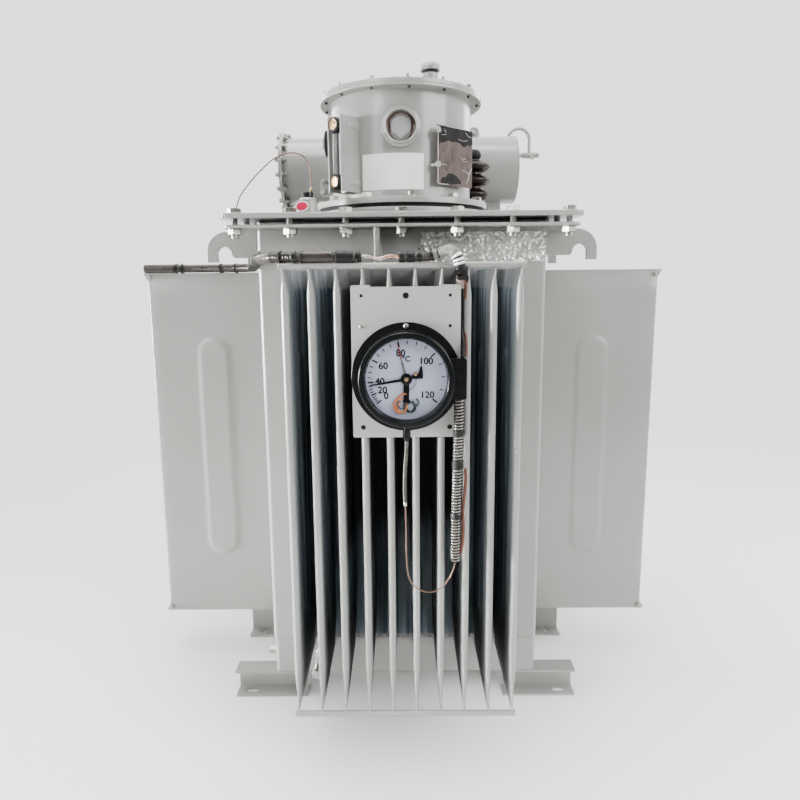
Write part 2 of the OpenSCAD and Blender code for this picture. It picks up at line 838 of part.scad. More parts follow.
module drum_left_end() {
    color(paint) at_drum(drum_left - drum_flange_t) cylinder(r = drum_flange_r, h = drum_flange_t);
}

module drum_right_end() {
    t = drum_wall;
    color(paint) at_drum(drum_right) rotate_extrude() polygon([[0, 0], [drum_r, 0],
        [drum_r - 0.1 * t, 0.4 * t], [drum_r - 0.4 * t, 0.75 * t], [drum_r - 0.8 * t, 0.95 * t],
        [drum_r - 1.3 * t, t], [0, t]]);
}

module drum_legs() {
    color(paint) difference() {
        for (s = [-1, 1]) translate([s * leg_span / 2, drum_axis_y - leg_w / 2, deck_z]) {
            translate([-leg_w / 2, 0, 0]) cube([leg_w, leg_t, drum_z]);
            translate([s * (leg_w - leg_t) / 2 - leg_t / 2, 0, 0]) cube([leg_t, leg_w, drum_z]);
        }
        at_drum(-leg_span) cylinder(r = drum_r, h = 2 * leg_span);
        at_drum(drum_left - drum_flange_t) cylinder(r = drum_flange_r, h = 2 * drum_flange_t);
    }
}

module drum_pipe() {
    color(paint) difference() {
        translate([-leg_span / 6, drum_axis_y, deck_z]) cylinder(d = drop_pipe_d, h = drum_z);
        at_drum(-leg_span) cylinder(r = drum_r, h = 2 * leg_span);
    }
}

breather_x = drum_right - breather_inset;
valve_top = drum_axis_z + valve_z + valve_d / 2;
bend_z = drum_axis_z + drum_r - breather_sink;

module breather_pipe() {
    color(paint) difference() {
        translate([breather_x, drum_axis_y, 0]) {
            translate([breather_r, 0, bend_z]) rotate([90, 0, 0])
                rotate_extrude(angle = 180) translate([breather_r, 0]) circle(d = breather_d);
            translate([2 * breather_r, 0, valve_top]) cylinder(d = breather_d, h = bend_z - valve_top);
        }
        at_drum(0) cylinder(r = drum_r, h = drum_right);
    }
}

module breather_valve() {
    seat = valve_d * 0.7;
    color(paint) translate([drum_right + drum_wall, drum_axis_y, drum_axis_z + valve_z]) {
        rotate([0, 90, 0]) cylinder(d = seat, h = valve_l);
        translate([2 * breather_r - breather_inset - drum_wall - valve_d, 0, 0]) rotate([0, 90, 0])
            cylinder(d = valve_d, h = 2 * valve_d);
    }
}

module drum_eye() {
    lift = drum_r + eye_r + eye_t / 2 - eye_sink;
    color(paint) difference() {
        translate([eye_x, drum_axis_y, drum_axis_z + lift]) rotate([90, 0, 0])
            rotate_extrude() translate([eye_r, 0]) circle(d = eye_t, $fn = 24);
        at_drum(0) cylinder(r = drum_r, h = drum_right);
    }
}

// The bushing's own frame: its axis along Z
module at_bushing(z) {
    translate([bushing_x, axis_y + bushing_behind, z]) children();
}

module bushing_porcelain() {
    base_r = bushing_r + 14;
    base_h = 14;
    top_shed = bushing_h - 15;
    color("#221c1a") at_bushing(deck_z) rotate_extrude() polygon(concat(
        [[0, 0], [base_r, 0], [base_r, base_h], [bushing_r, base_h]],
        [for (i = [sheds_n - 1:-1:0]) let (z = top_shed - i * shed_pitch) each [[bushing_r, z - 8],
            [bushing_r + 6, z - 10], [shed_r - 9, z - 7], [shed_r - 2, z - 2], [shed_r, z],
            [shed_r - 2, z + 3], [shed_r - 8, z + 7.5], [bushing_r + 5, z + 11], [bushing_r, z + 12]]],
        [[bushing_r, bushing_h], [0, bushing_h]]));
}

module bushing_cap() {
    h = bushing_cap_h;
    r = bushing_r;
    color(dark) at_bushing(deck_z + bushing_h) rotate_extrude() polygon([[0, 0], [r - 6, 0], [r - 6, h * 0.1],
        [r - 1, h * 0.3], [r, h * 0.45], [r - 1, h * 0.65], [r - 4, h * 0.83], [r - 9, h * 0.95],
        [r - 14, h], [0, h]]);
}

module pocket_body() {
    r = pocket_d / 2;
    h = pocket_h;
    color(paint) translate([-pocket_x, front_y, deck_z]) rotate_extrude() polygon([[0, 0], [r, 0],
        [r, h * 0.5], [r - 2.5, h * 0.68], [r - 2.5, h - 4], [r - 5, h], [0, h]]);
}

module pocket_cap() {
    r = cap_d / 2;
    h = cap_h;
    color(dark) translate([-pocket_x, front_y, deck_z + pocket_h]) rotate_extrude()
        polygon([[0, 0], [r - 1, 0], [r, 1], [r, h - 1], [r - 1, h], [0, h]]);
}

module pocket_gland() {
    nut_h = gland_h * 0.6;
    color(brass) translate([-pocket_x + cap_d / 2 - 0.6 * gland_d, front_y, deck_z + pocket_h + cap_h]) {
        cylinder(d = gland_d, h = nut_h, $fn = 6);
        translate([0, 0, nut_h]) cylinder(d1 = gland_d - 1, d2 = gland_d - 3, h = gland_h - nut_h);
    }
}

// The plate's outline, from the middle of its lower edge
module gauge_plate_outline() {
    difference() {
        translate([0, gauge_plate_h / 2]) round_rect(gauge_plate_w, gauge_plate_h, gauge_plate_r);
        translate([gauge_tab_w - gauge_plate_w / 2, gauge_plate_h - gauge_tab_h])
            square([gauge_plate_w - 2 * gauge_tab_w, 2 * gauge_tab_h]);
        for (side = [-1, 1]) translate([side * (gauge_plate_w / 2 - plate_hole_inset), 0]) {
            translate([0, plate_hole_inset]) circle(d = plate_fixing_d);
            translate([0, gauge_plate_h - plate_middle_drop]) circle(d = plate_hole_d);
            translate([0, gauge_plate_h - plate_hole_inset]) circle(d = plate_hole_d);
        }
        translate([0, gauge_plate_h - plate_hole_inset]) circle(d = plate_bush_d);
    }
}

module gauge_plate() {
    color(paint) translate([gauge_x, gauge_back_y + gauge_plate_t, gauge_plate_z]) rotate([90, 0, 0])
        linear_extrude(gauge_plate_t) gauge_plate_outline();
}

// The thermometer's own frame: its axis along -Y from the plate
module at_gauge(out) {
    translate([gauge_x, gauge_back_y - out, gauge_z]) rotate([90, 0, 0]) children();
}

case_in_r = case_r - case_wall;
case_floor = 4;

module gauge_case() {
    color(dark) at_gauge(0) rotate_extrude() polygon([[0, 0], [gauge_flange_r, 0],
        [gauge_flange_r, gauge_flange_t], [case_r, gauge_flange_t], [case_r, case_d], [case_in_r, case_d],
        [case_in_r, case_floor], [0, case_floor]]);
}

module gauge_bezel() {
    color(dark) at_gauge(case_d) rotate_extrude() polygon([[bezel_in_r, 0], [case_r, 0],
        [case_r - 1, bezel_d * 0.5], [case_r - 3, bezel_d * 0.8], [case_r - 6, bezel_d],
        [bezel_in_r + 4, bezel_d], [bezel_in_r + 2, bezel_d * 0.8], [bezel_in_r, 2]]);
}

dial_out = case_d - glass_t - 7;

module gauge_dial() {
    color("white") at_gauge(case_floor) cylinder(r = case_in_r, h = dial_out + dial_t - case_floor);
}

module gauge_glass() {
    color("lightcyan") at_gauge(case_d - glass_t) cylinder(r = case_in_r, h = glass_t);
}

module gauge_pointer() {
    color("black") at_gauge(dial_out + dial_t) rotate([0, 0, 190]) {
        cylinder(r = 5, h = 4);
        translate([0, 0, 1]) linear_extrude(2) polygon([[-16, -2.5], [-14, -3], [0, -2], [pointer_l, -0.6],
            [pointer_l, 0.6], [0, 2], [-14, 3], [-16, 2.5]]);
    }
}

module terminal_box() {
    color(dark) difference() {
        translate([gauge_x, gauge_back_y - gauge_flange_t, gauge_z]) rotate([90, 0, 0]) {
            linear_extrude(box_d - 6) round_rect(2 * (case_r + box_w - 1.5), box_h - 3, 3);
            translate([0, 0, box_d - 6]) linear_extrude(6) round_rect(2 * (case_r + box_w), box_h, 4);
        }
        at_gauge(0) cylinder(r = case_r, h = case_d);
        translate([gauge_x - 2 * case_r, gauge_back_y - case_d, gauge_z - box_h])
            cube([2 * case_r, case_d, 2 * box_h]);
    }
}

module gauge_stem() {
    color(dark) difference() {
        translate([gauge_x, gauge_back_y - case_d / 2, gauge_z - case_r - stem_l])
            union() {
                cylinder(d = stem_d - 4, h = stem_l + stem_d);
                translate([0, 0, 4]) cylinder(d = stem_d, h = stem_l / 2, $fn = 6);
            }
        at_gauge(0) cylinder(r = case_r, h = case_d);
    }
}

module drain_pipe() {
    color(paint) translate([-drain_x, front_y + pan_step, floor_z + drain_z]) rotate([90, 0, 0]) {
        cylinder(d = drain_d, h = drain_l);
        cylinder(d = drain_d + 8, h = 8);
        translate([0, 0, drain_l - 18]) cylinder(d = drain_d + 5, h = 20);
    }
}

module earth_bolt() {
    color("silver") translate([-side_x + pan_step, front_y + earth_y, floor_z + earth_z]) rotate([0, -90, 0])
        cylinder(d = earth_d, h = earth_l, $fn = 6);
}

module hoses() {
    color(dark) {
        tube(hose_route, hose_d);
        tube(short_hose_route, short_hose_d);
        tube(wires_route, wires_d);
        tube(box_wires_route, wires_d);
    }
}

module hanging_hose() {
    color(dark) tube(hanging_route, hanging_d);
}

module capillaries() {
    color(dark) tube(armour_route, armour_d, 8);
    color("#9a6a3a") {
        tube(loop_route, capillary_d, 8);
        tube(cover_capillary_route, capillary_d, 8);
    }
}

tank_shell();
tank_pan();
tank_rim();
limit_strip();
cover_gasket();
cover();
rim_gusset();
front_lugs();
rear_lugs();
front_feet();
rear_feet();
front_fins();
rear_fins();
left_fins();
right_fins();
front_bars();
rear_bars();
side_rods();
turret_collar();
turret_gasket();
turret_shell();
turret_lid();
relief_valve();
sight_bezel();
sight_glass();
side_port();
level_guard();
level_tube();
level_fittings();
blank_plate();
plate_bracket();
earth_pad();
drum_shell();
drum_right_end();
drum_left_end();
drum_legs();
drum_pipe();
breather_pipe();
breather_valve();
drum_eye();
bushing_porcelain();
bushing_cap();
pocket_body();
pocket_cap();
pocket_gland();
gauge_plate();
gauge_case();
gauge_bezel();
gauge_dial();
gauge_glass();
gauge_pointer();
terminal_box();
gauge_stem();
drain_pipe();
earth_bolt();
hoses();
hanging_hose();
capillaries();
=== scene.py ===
import bmesh
import bpy
import json
import math
import random
from mathutils import Matrix, Vector, noise


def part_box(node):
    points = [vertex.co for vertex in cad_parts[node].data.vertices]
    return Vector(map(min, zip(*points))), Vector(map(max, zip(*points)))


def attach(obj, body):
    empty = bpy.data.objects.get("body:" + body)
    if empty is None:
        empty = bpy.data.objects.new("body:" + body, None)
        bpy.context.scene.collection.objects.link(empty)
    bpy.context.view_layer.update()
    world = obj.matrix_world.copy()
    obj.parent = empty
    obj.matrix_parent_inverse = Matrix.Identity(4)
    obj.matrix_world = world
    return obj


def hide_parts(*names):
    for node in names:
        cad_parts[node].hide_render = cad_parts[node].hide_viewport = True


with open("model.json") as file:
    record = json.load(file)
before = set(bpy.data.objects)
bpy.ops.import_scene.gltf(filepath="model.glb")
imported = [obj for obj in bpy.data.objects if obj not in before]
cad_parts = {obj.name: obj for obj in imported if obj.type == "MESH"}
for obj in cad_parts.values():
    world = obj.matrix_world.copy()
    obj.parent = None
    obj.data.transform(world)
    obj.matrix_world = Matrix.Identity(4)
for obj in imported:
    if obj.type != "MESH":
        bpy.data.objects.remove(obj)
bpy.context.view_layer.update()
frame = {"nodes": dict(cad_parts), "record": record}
mm = 0.001
print("frame loaded with", len(frame["nodes"]), "nodes")


# Small tools for meshes: each shape is a pair of lists, its points in metres and its faces

def lathe(profile, steps=96):
    points, faces, rings = [], [], []
    for radius, height in profile:
        if radius < 1e-7:
            rings.append([len(points)] * steps)
            points.append(Vector((0, 0, height)))
            continue
        rings.append(list(range(len(points), len(points) + steps)))
        for k in range(steps):
            turn = 2 * math.pi * k / steps
            points.append(Vector((radius * math.cos(turn), radius * math.sin(turn), height)))
    for low, high in zip(rings, rings[1:]):
        for k in range(steps):
            n = (k + 1) % steps
            face = list(dict.fromkeys((low[k], low[n], high[n], high[k])))
            if len(face) > 2:
                faces.append(face)
    return points, faces


def turned(profile, steps=48):
    # The same from a profile in millimetres
    return lathe([(radius * mm, height * mm) for radius, height in profile], steps)


def roundCorners(outline, steps=5, closed=False):
    # Each point is (across, up, corner radius); a corner with a radius becomes an arc
    result = []
    count = len(outline)
    for i, (x, y, radius) in enumerate(outline):
        here = Vector((x, y))
        if radius == 0 or (not closed and i in (0, count - 1)):
            result.append((x, y))
            continue
        toLast = (Vector(outline[i - 1][:2]) - here).normalized()
        toNext = (Vector(outline[(i + 1) % count][:2]) - here).normalized()
        half = max(0.05, toLast.angle(toNext) / 2)
        reach = radius / math.tan(half)
        centre = here + (toLast + toNext).normalized() * (radius / math.sin(half))
        start = here + toLast * reach - centre
        end = here + toNext * reach - centre
        sweepAngle = start.angle_signed(end)
        for k in range(steps + 1):
            spoke = start.copy()
            spoke.rotate(Matrix.Rotation(-sweepAngle * k / steps, 2))
            result.append(tuple(centre + spoke))
    return result


def prism(outline, height):
    count = len(outline)
    points = [Vector((x, y, z)) for z in (0, height) for x, y in outline]
    faces = [list(range(count))[::-1], list(range(count, 2 * count))]
    faces += [[k, (k + 1) % count, count + (k + 1) % count, count + k] for k in range(count)]
    return points, faces


def cutOut(outline, thick):
    # A flat piece, with its outline and thickness in millimetres
    return prism([(across * mm, up * mm) for across, up in outline], thick * mm)


def alongCurve(stops, spacing):
    # A smooth line through the stops, with a point every so many metres
    stops = [Vector(p) for p in stops]
    ends = [2 * stops[0] - stops[1]] + stops + [2 * stops[-1] - stops[-2]]
    fine = []
    for a, b, c, d in zip(ends, ends[1:], ends[2:], ends[3:]):
        for k in range(24):
            t = k / 24
            fine.append(0.5 * (2 * b + (c - a) * t + (2 * a - 5 * b + 4 * c - d) * t * t
                               + (3 * b - a - 3 * c + d) * t ** 3))
    fine.append(stops[-1])
    total = sum((q - p).length for p, q in zip(fine, fine[1:]))
    count = max(2, round(total / spacing))
    line, walked, target = [fine[0]], 0.0, total / count
    for p, q in zip(fine, fine[1:]):
        step = (q - p).length
        while walked + step >= target - 1e-9 and len(line) < count:
            line.append(p.lerp(q, (target - walked) / step))
            target += total / count
        walked += step
    line.append(fine[-1])
    return line, total


def tube(line, radiusAt, sides=16):
    # A round skin along a line; radiusAt gives the radius at a distance from the start
    points, faces = [], []
    side, walked = None, 0.0
    for i, here in enumerate(line):
        ahead = (line[min(i + 1, len(line) - 1)] - line[max(i - 1, 0)]).normalized()
        if side is None:
            side = ahead.orthogonal().normalized()
        side = (side - ahead * side.dot(ahead)).normalized()
        up = ahead.cross(side)
        if i:
            walked += (here - line[i - 1]).length
        radius = radiusAt(walked)
        for k in range(sides):
            turn = 2 * math.pi * k / sides
            points.append(here + radius * (math.cos(turn) * side + math.sin(turn) * up))
    for i in range(len(line) - 1):
        for k in range(sides):
            n = (k + 1) % sides
            faces.append([i * sides + k, i * sides + n, (i + 1) * sides + n, (i + 1) * sides + k])
    faces.append(list(range(sides))[::-1])
    faces.append(list(range((len(line) - 1) * sides, len(line) * sides)))
    return points, faces


def moved(shape, matrix):
    return [matrix @ p for p in shape[0]], shape[1]


def joined(shapes):
    points, faces = [], []
    for shapePoints, shapeFaces in shapes:
        start = len(points)
        points += shapePoints
        faces += [[start + i for i in face] for face in shapeFaces]
    return points, faces


def at(place, axis=(0, 0, 1), spin=0.0):
    # Turns a shape's own Z to the axis, and moves it to the place
    turn = Vector((0, 0, 1)).rotation_difference(Vector(axis)).to_matrix().to_4x4()
    return Matrix.Translation(place) @ turn @ Matrix.Rotation(spin, 4, "Z")


def facing(place):
    # Seen from the front: X to the right, Y up, Z towards the viewer
    turn = Matrix(((1, 0, 0, 0), (0, 0, -1, 0), (0, 1, 0, 0), (0, 0, 0, 1)))
    return Matrix.Translation(place) @ turn


def middleOf(low, high):
    return Vector([(a + b) / 2 for a, b in zip(low, high)])


def softenEdges(mesh, width, steps=2, sharpest=32):
    work = bmesh.new()
    work.from_mesh(mesh)
    bmesh.ops.remove_doubles(work, verts=work.verts, dist=2e-6)
    bmesh.ops.dissolve_limit(work, angle_limit=math.radians(0.4), verts=work.verts, edges=work.edges)
    edges = [e for e in work.edges if len(e.link_faces) == 2
             and e.calc_face_angle(0) > math.radians(sharpest)]
    bmesh.ops.bevel(work, geom=edges, offset=width, segments=steps, profile=0.6, affect="EDGES",
                    clamp_overlap=True)
    bmesh.ops.recalc_face_normals(work, faces=work.faces)
    work.to_mesh(mesh)
    work.free()


def addPiece(name, shape, material, replaced=(), soft=0.0, smooth=38, weighted=True):
    mesh = bpy.data.meshes.new(name)
    mesh.from_pydata(shape[0], [], shape[1])
    mesh.validate()
    if soft:
        softenEdges(mesh, soft)
    else:
        work = bmesh.new()
        work.from_mesh(mesh)
        bmesh.ops.recalc_face_normals(work, faces=work.faces)
        work.to_mesh(mesh)
        work.free()
    return finishPiece(bpy.data.objects.new(name, mesh), material, replaced, smooth, weighted)


def finishPiece(piece, material, replaced=(), smooth=38, weighted=True):
    mesh = piece.data
    bpy.context.collection.objects.link(piece)
    mesh.materials.clear()
    mesh.materials.append(material)
    mesh.polygons.foreach_set("use_smooth", [True] * len(mesh.polygons))
    mesh.set_sharp_from_angle(angle=math.radians(smooth))
    if weighted:
        piece.modifiers.new("even lights", "WEIGHTED_NORMAL").keep_sharp = True
    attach(piece, "root")
    if replaced:
        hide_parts(*replaced)
    return piece


def softNode(node, material, width):
    # The CAD piece as it is, with its edges broken
    mesh = frame["nodes"][node].data.copy()
    mesh.name = node + "Soft"
    softenEdges(mesh, width)
    return finishPiece(bpy.data.objects.new(node + "Soft", mesh), material, [node])


# Camera, at the photograph's angle

cameraView = {"place": (-0.0006, -1.4825, 0.9403), "yaw": 0.0077, "pitch": 0.1583, "roll": -0.0090,
              "focal": 622, "middle": (397.7, 378.0), "image": 800, "sensor": 36.0}


def addCamera(view):
    flatAhead = Vector((-math.sin(view["yaw"]), math.cos(view["yaw"]), 0))
    flatRight = Vector((math.cos(view["yaw"]), math.sin(view["yaw"]), 0))
    plumb = Vector((0, 0, 1))
    ahead = math.cos(view["pitch"]) * flatAhead - math.sin(view["pitch"]) * plumb
    level = math.sin(view["pitch"]) * flatAhead + math.cos(view["pitch"]) * plumb
    right = math.cos(view["roll"]) * flatRight + math.sin(view["roll"]) * level
    up = math.cos(view["roll"]) * level - math.sin(view["roll"]) * flatRight
    data = bpy.data.cameras.new("camera")
    data.sensor_width = view["sensor"]
    data.lens = view["focal"] / view["image"] * view["sensor"]
    data.shift_x = 0.5 - view["middle"][0] / view["image"]
    data.shift_y = view["middle"][1] / view["image"] - 0.5
    camera = bpy.data.objects.new("camera", data)
    turn = Matrix((right, up, -ahead)).transposed().to_4x4()
    camera.matrix_world = Matrix.Translation(view["place"]) @ turn
    bpy.context.collection.objects.link(camera)
    bpy.context.scene.camera = camera


addCamera(cameraView)
print("camera set")


# Materials

def toLinear(code):
    parts = [int(code[i:i + 2], 16) / 255 for i in (1, 3, 5)]
    return tuple(c / 12.92 if c < 0.04045 else ((c + 0.055) / 1.055) ** 2.4 for c in parts) + (1.0,)


def addNode(tree, kind, settings=None, links=None):
    node = tree.nodes.new(kind)
    for key, value in (settings or {}).items():
        if isinstance(key, int) or key in node.inputs:
            node.inputs[key].default_value = value
        else:
            setattr(node, key, value)
    for key, source in (links or {}).items():
        tree.links.new(source, node.inputs[key])
    return node


def startMaterial(name, surface):
    material = bpy.data.materials.new(name)
    material.use_nodes = True
    tree = material.node_tree
    shader = tree.nodes["Principled BSDF"]
    for key, value in surface.items():
        shader.inputs[key].default_value = value
    place = addNode(tree, "ShaderNodeTexCoord").outputs["Object"]
    return material, tree, shader, place


def perMm(size):
    # Noise scale for a pattern of this size in millimetres
    return 1000.0 / size


# Grey enamel, sprayed on steel sheet: a soft gloss with slow waves from the sheet and faint orange peel
enamel = {"tone": "#8c8c89", "pale": "#969693", "cloudMm": 140, "waveMm": 70, "waveDepth": 0.0009,
          "peelMm": 6, "peelDepth": 0.000004, "gloss": (0.22, 0.27), "grimeMm": 60, "coat": 0.25}
# Painted shade deep in the fins' gaps: dark, a little blue, in upright streaks that stand for dim reflections, drawn
# coarse to show.
# Each pair, in metres, is where that starts and where it is full; over the head pair a part of it stays, a painted
# lighter band at the top
paintedGapShade = {"dark": "#424d55", "light": "#98a5ae", "streakMm": 15, "x": (0.207, 0.199), "y": (0.440, 0.335),
           "foot": (0.152, 0.158), "head": (0.926, 0.918), "headShare": 0.55, "top": (0.963, 0.957),
           "shade": "#1d2225", "low": (0.02, 0.01),
           "shadeX": (0.125, 0.104), "shadeZ": (0.36, 0.46)}  # painted shadow behind the thermometer's plate


def makeEnamel(name, look, gapShade=None):
    material, tree, shader, place = startMaterial(
        name, {"IOR": 1.5, "Coat Weight": look["coat"], "Coat Roughness": 0.12})
    cloud = addNode(tree, "ShaderNodeTexNoise", {"Scale": perMm(look["cloudMm"]), "Detail": 3.0},
                    {"Vector": place})
    tone = addNode(tree, "ShaderNodeMix", {"data_type": "RGBA", 6: toLinear(look["tone"]),
                                           7: toLinear(look["pale"])}, {0: cloud.outputs["Fac"]}).outputs[2]
    if gapShade:
        # Painted shade: streaked dark paint in the gaps, a painted shadow behind the thermometer's plate, darker
        # towards the bottom
        axes = addNode(tree, "ShaderNodeSeparateXYZ", links={"Vector": place})
        stretched = addNode(tree, "ShaderNodeMapping", {"Scale": (1.0, 0.5, 0.03)}, {"Vector": place})
        streak = addNode(tree, "ShaderNodeTexNoise", {"Scale": perMm(gapShade["streakMm"]), "Detail": 2.0},
                         {"Vector": stretched.outputs["Vector"]})
        sharp = addNode(tree, "ShaderNodeMapRange", {"From Min": 0.42, "From Max": 0.66},
                        {"Value": streak.outputs["Fac"]})
        grey = addNode(tree, "ShaderNodeMix", {"data_type": "RGBA", 6: toLinear(gapShade["dark"]),
                                               7: toLinear(gapShade["light"])}, {0: sharp.outputs["Result"]}).outputs[2]

        def zone(*pairs):
            # One where every pair is full, falling off outside
            share = None
            for key, axis in pairs:
                size = addNode(tree, "ShaderNodeMath", {"operation": "ABSOLUTE"}, {0: axes.outputs[axis]})
                part = addNode(tree, "ShaderNodeMapRange", {
                    "interpolation_type": "SMOOTHSTEP", "From Min": gapShade[key][0], "From Max": gapShade[key][1],
                    "To Min": gapShade.get(key + "Share", 0.0)}, {"Value": size.outputs[0]}).outputs["Result"]
                share = part if share is None else addNode(tree, "ShaderNodeMath", {"operation": "MULTIPLY"},
                                                           {0: share, 1: part}).outputs[0]
            return share

        # Painted shadow behind the thermometer's plate, then painted shade low down
        for dim in (zone(("shadeX", "X"), ("shadeZ", "Z")), zone(("low", "Z"))):
            grey = addNode(tree, "ShaderNodeMix", {"data_type": "RGBA", 7: toLinear(gapShade["shade"])},
                           {0: dim, 6: grey}).outputs[2]
        paintedShadeShare = zone(("x", "X"), ("y", "Y"), ("foot", "Z"), ("head", "Z"), ("top", "Z"))
        tone = addNode(tree, "ShaderNodeMix", {"data_type": "RGBA"}, {0: paintedShadeShare, 6: tone, 7: grey}).outputs[2]
        coat = addNode(tree, "ShaderNodeMapRange", {"To Min": look["coat"], "To Max": 0.0}, {"Value": paintedShadeShare})
        tree.links.new(coat.outputs["Result"], shader.inputs["Coat Weight"])
    grime = addNode(tree, "ShaderNodeTexNoise", {"Scale": perMm(look["grimeMm"]), "Detail": 6.0},
                    {"Vector": place})
    gloss = addNode(tree, "ShaderNodeMapRange", {"From Min": 0.3, "From Max": 0.75, "To Min": look["gloss"][0],
                                                 "To Max": look["gloss"][1]}, {"Value": grime.outputs["Fac"]})
    wave = addNode(tree, "ShaderNodeTexNoise", {"Scale": perMm(look["waveMm"]), "Detail": 1.0},
                   {"Vector": place})
    peel = addNode(tree, "ShaderNodeTexNoise", {"Scale": perMm(look["peelMm"]), "Detail": 1.0},
                   {"Vector": place})
    waveBump = addNode(tree, "ShaderNodeBump", {"Strength": 0.6, "Distance": look["waveDepth"]},
                       {"Height": wave.outputs["Fac"]})
    peelBump = addNode(tree, "ShaderNodeBump", {"Strength": 0.5, "Distance": look["peelDepth"]},
                       {"Height": peel.outputs["Fac"], "Normal": waveBump.outputs["Normal"]})
    rough = gloss.outputs["Result"]
    if gapShade:
        rough = addNode(tree, "ShaderNodeMix", {3: 0.9}, {0: paintedShadeShare, 2: rough}).outputs[0]
    tree.links.new(tone, shader.inputs["Base Color"])
    tree.links.new(rough, shader.inputs["Roughness"])
    tree.links.new(peelBump.outputs["Normal"], shader.inputs["Normal"])
    return material


greyEnamel = makeEnamel("greyEnamel", enamel)
# The same enamel on the tank's walls, behind the fins, with painted shade in the gaps
wallEnamel = makeEnamel("wallEnamel", enamel, paintedGapShade)
# The same enamel on the stiff front and rear fins: flatter, with only the slowest waves, and painted shade in the gaps
# that grows darker towards the bottom
finEnamel = makeEnamel("finEnamel", {**enamel, "waveMm": 160, "waveDepth": 0.0003, "gloss": (0.16, 0.2)},
                       {**paintedGapShade, "foot": (0.030, 0.060), "low": (0.40, 0.20)})
# A thin dull coat on the strip under the cover, and a paler one on the thermometer's plate
dullEnamel = makeEnamel("dullEnamel", {**enamel, "tone": "#898a86", "pale": "#92938f", "gloss": (0.5, 0.6)})
plateEnamel = makeEnamel("plateEnamel", {**enamel, "tone": "#9e9e9b", "pale": "#a6a6a3", "waveDepth": 0.0003})


# A plain finish with a fine mottle in colour and roughness, used by the smaller materials
def makeMottled(name, look):
    surface = {"IOR": look.get("ior", 1.5), "Metallic": look.get("metallic", 0.0),
               "Coat Weight": look.get("coat", 0.0), "Alpha": look.get("alpha", 1.0),
               "Specular IOR Level": look.get("shine", 0.5)}
    material, tree, shader, place = startMaterial(name, surface)
    mottle = addNode(tree, "ShaderNodeTexNoise", {"Scale": perMm(look["grainMm"]), "Detail": 4.0},
                     {"Vector": place})
    tone = addNode(tree, "ShaderNodeMix", {"data_type": "RGBA", 6: toLinear(look["dark"]),
                                           7: toLinear(look["light"])}, {0: mottle.outputs["Fac"]})
    gloss = addNode(tree, "ShaderNodeMapRange", {"From Min": 0.3, "From Max": 0.7, "To Min": look["gloss"][0],
                                                 "To Max": look["gloss"][1]}, {"Value": mottle.outputs["Fac"]})
    bump = addNode(tree, "ShaderNodeBump", {"Strength": 0.5, "Distance": look["depth"]},
                   {"Height": mottle.outputs["Fac"]})
    tree.links.new(tone.outputs[2], shader.inputs["Base Color"])
    tree.links.new(gloss.outputs["Result"], shader.inputs["Roughness"])
    tree.links.new(bump.outputs["Normal"], shader.inputs["Normal"])
    return material


# Nitrile rubber, moulded: dull black with a dusty bloom
nitrileRubber = makeMottled("nitrileRubber", {"dark": "#0a0a0a", "light": "#151514", "grainMm": 6,
                                              "gloss": (0.55, 0.75), "depth": 0.00005, "ior": 1.52, "shine": 0.25})
# Black phenolic, moulded: satin, with narrow lights on the round edges
blackPhenolic = makeMottled("blackPhenolic", {"dark": "#060708", "light": "#0d0f11", "grainMm": 14,
                                              "gloss": (0.16, 0.22), "depth": 0.000002, "ior": 1.6, "shine": 0.22})
# Turned brass, a little tarnished: warm yellow with brown in the mottle
turnedBrass = makeMottled("turnedBrass", {"dark": "#9b7d58", "light": "#e3c49b", "grainMm": 7, "metallic": 1.0,
                                          "gloss": (0.22, 0.42), "depth": 0.00003})
# Bright zinc plate on steel fasteners: pale silver with a faint cloud
brightZinc = makeMottled("brightZinc", {"dark": "#7d7b75", "light": "#b3b1a9", "grainMm": 5, "metallic": 1.0,
                                        "gloss": (0.24, 0.42), "depth": 0.00003})
# Brown porcelain, glazed and fired: almost black where thick, red brown where thin, glassy lights
brownGlaze = makeMottled("brownGlaze", {"dark": "#070403", "light": "#1f0c08", "grainMm": 22, "ior": 1.55,
                                        "gloss": (0.24, 0.36), "depth": 0.00002, "shine": 0.3})
# Copper capillary, drawn and gone dull: brown with a pink light
copperWire = makeMottled("copperWire", {"dark": "#4f3d35", "light": "#8a6d5f", "grainMm": 10, "metallic": 0.7,
                                        "gloss": (0.32, 0.5), "depth": 0.00002})
# Galvanised strip wound into conduit, grimy: dark grey with thin silver lights
galvanisedStrip = makeMottled("galvanisedStrip", {"dark": "#1a1917", "light": "#5a5752", "grainMm": 8,
                                                  "metallic": 1.0, "gloss": (0.28, 0.45), "depth": 0.00004})
# Spring steel wire, wound: bright silver turns
springSteel = makeMottled("springSteel", {"dark": "#bdbbb3", "light": "#e9e7df", "grainMm": 6, "metallic": 0.8,
                                          "gloss": (0.2, 0.32), "depth": 0.00001})
# The same wire gone grimy: grey turns with brown between
woundSteel = makeMottled("woundSteel", {"dark": "#5a5650", "light": "#b9b5ac", "grainMm": 7, "metallic": 0.9,
                                        "gloss": (0.2, 0.32), "depth": 0.00001})
# Old steel at the ends of threads: dark and dull
dullSteel = makeMottled("dullSteel", {"dark": "#33322f", "light": "#55534e", "grainMm": 4, "metallic": 1.0,
                                      "gloss": (0.4, 0.55), "depth": 0.00003})
# Black vinyl, as wire covers and tape: dull with soft lights
blackPvc = makeMottled("blackPvc", {"dark": "#060606", "light": "#0f0f0e", "grainMm": 6,
                                    "gloss": (0.42, 0.6), "depth": 0.00006, "ior": 1.53, "shine": 0.25})
# Shrunk sleeve on the hose: brownish grey, smooth and handled
brownSleeve = makeMottled("brownSleeve", {"dark": "#191614", "light": "#3d3732", "grainMm": 14,
                                          "gloss": (0.25, 0.4), "depth": 0.00005, "shine": 0.35})
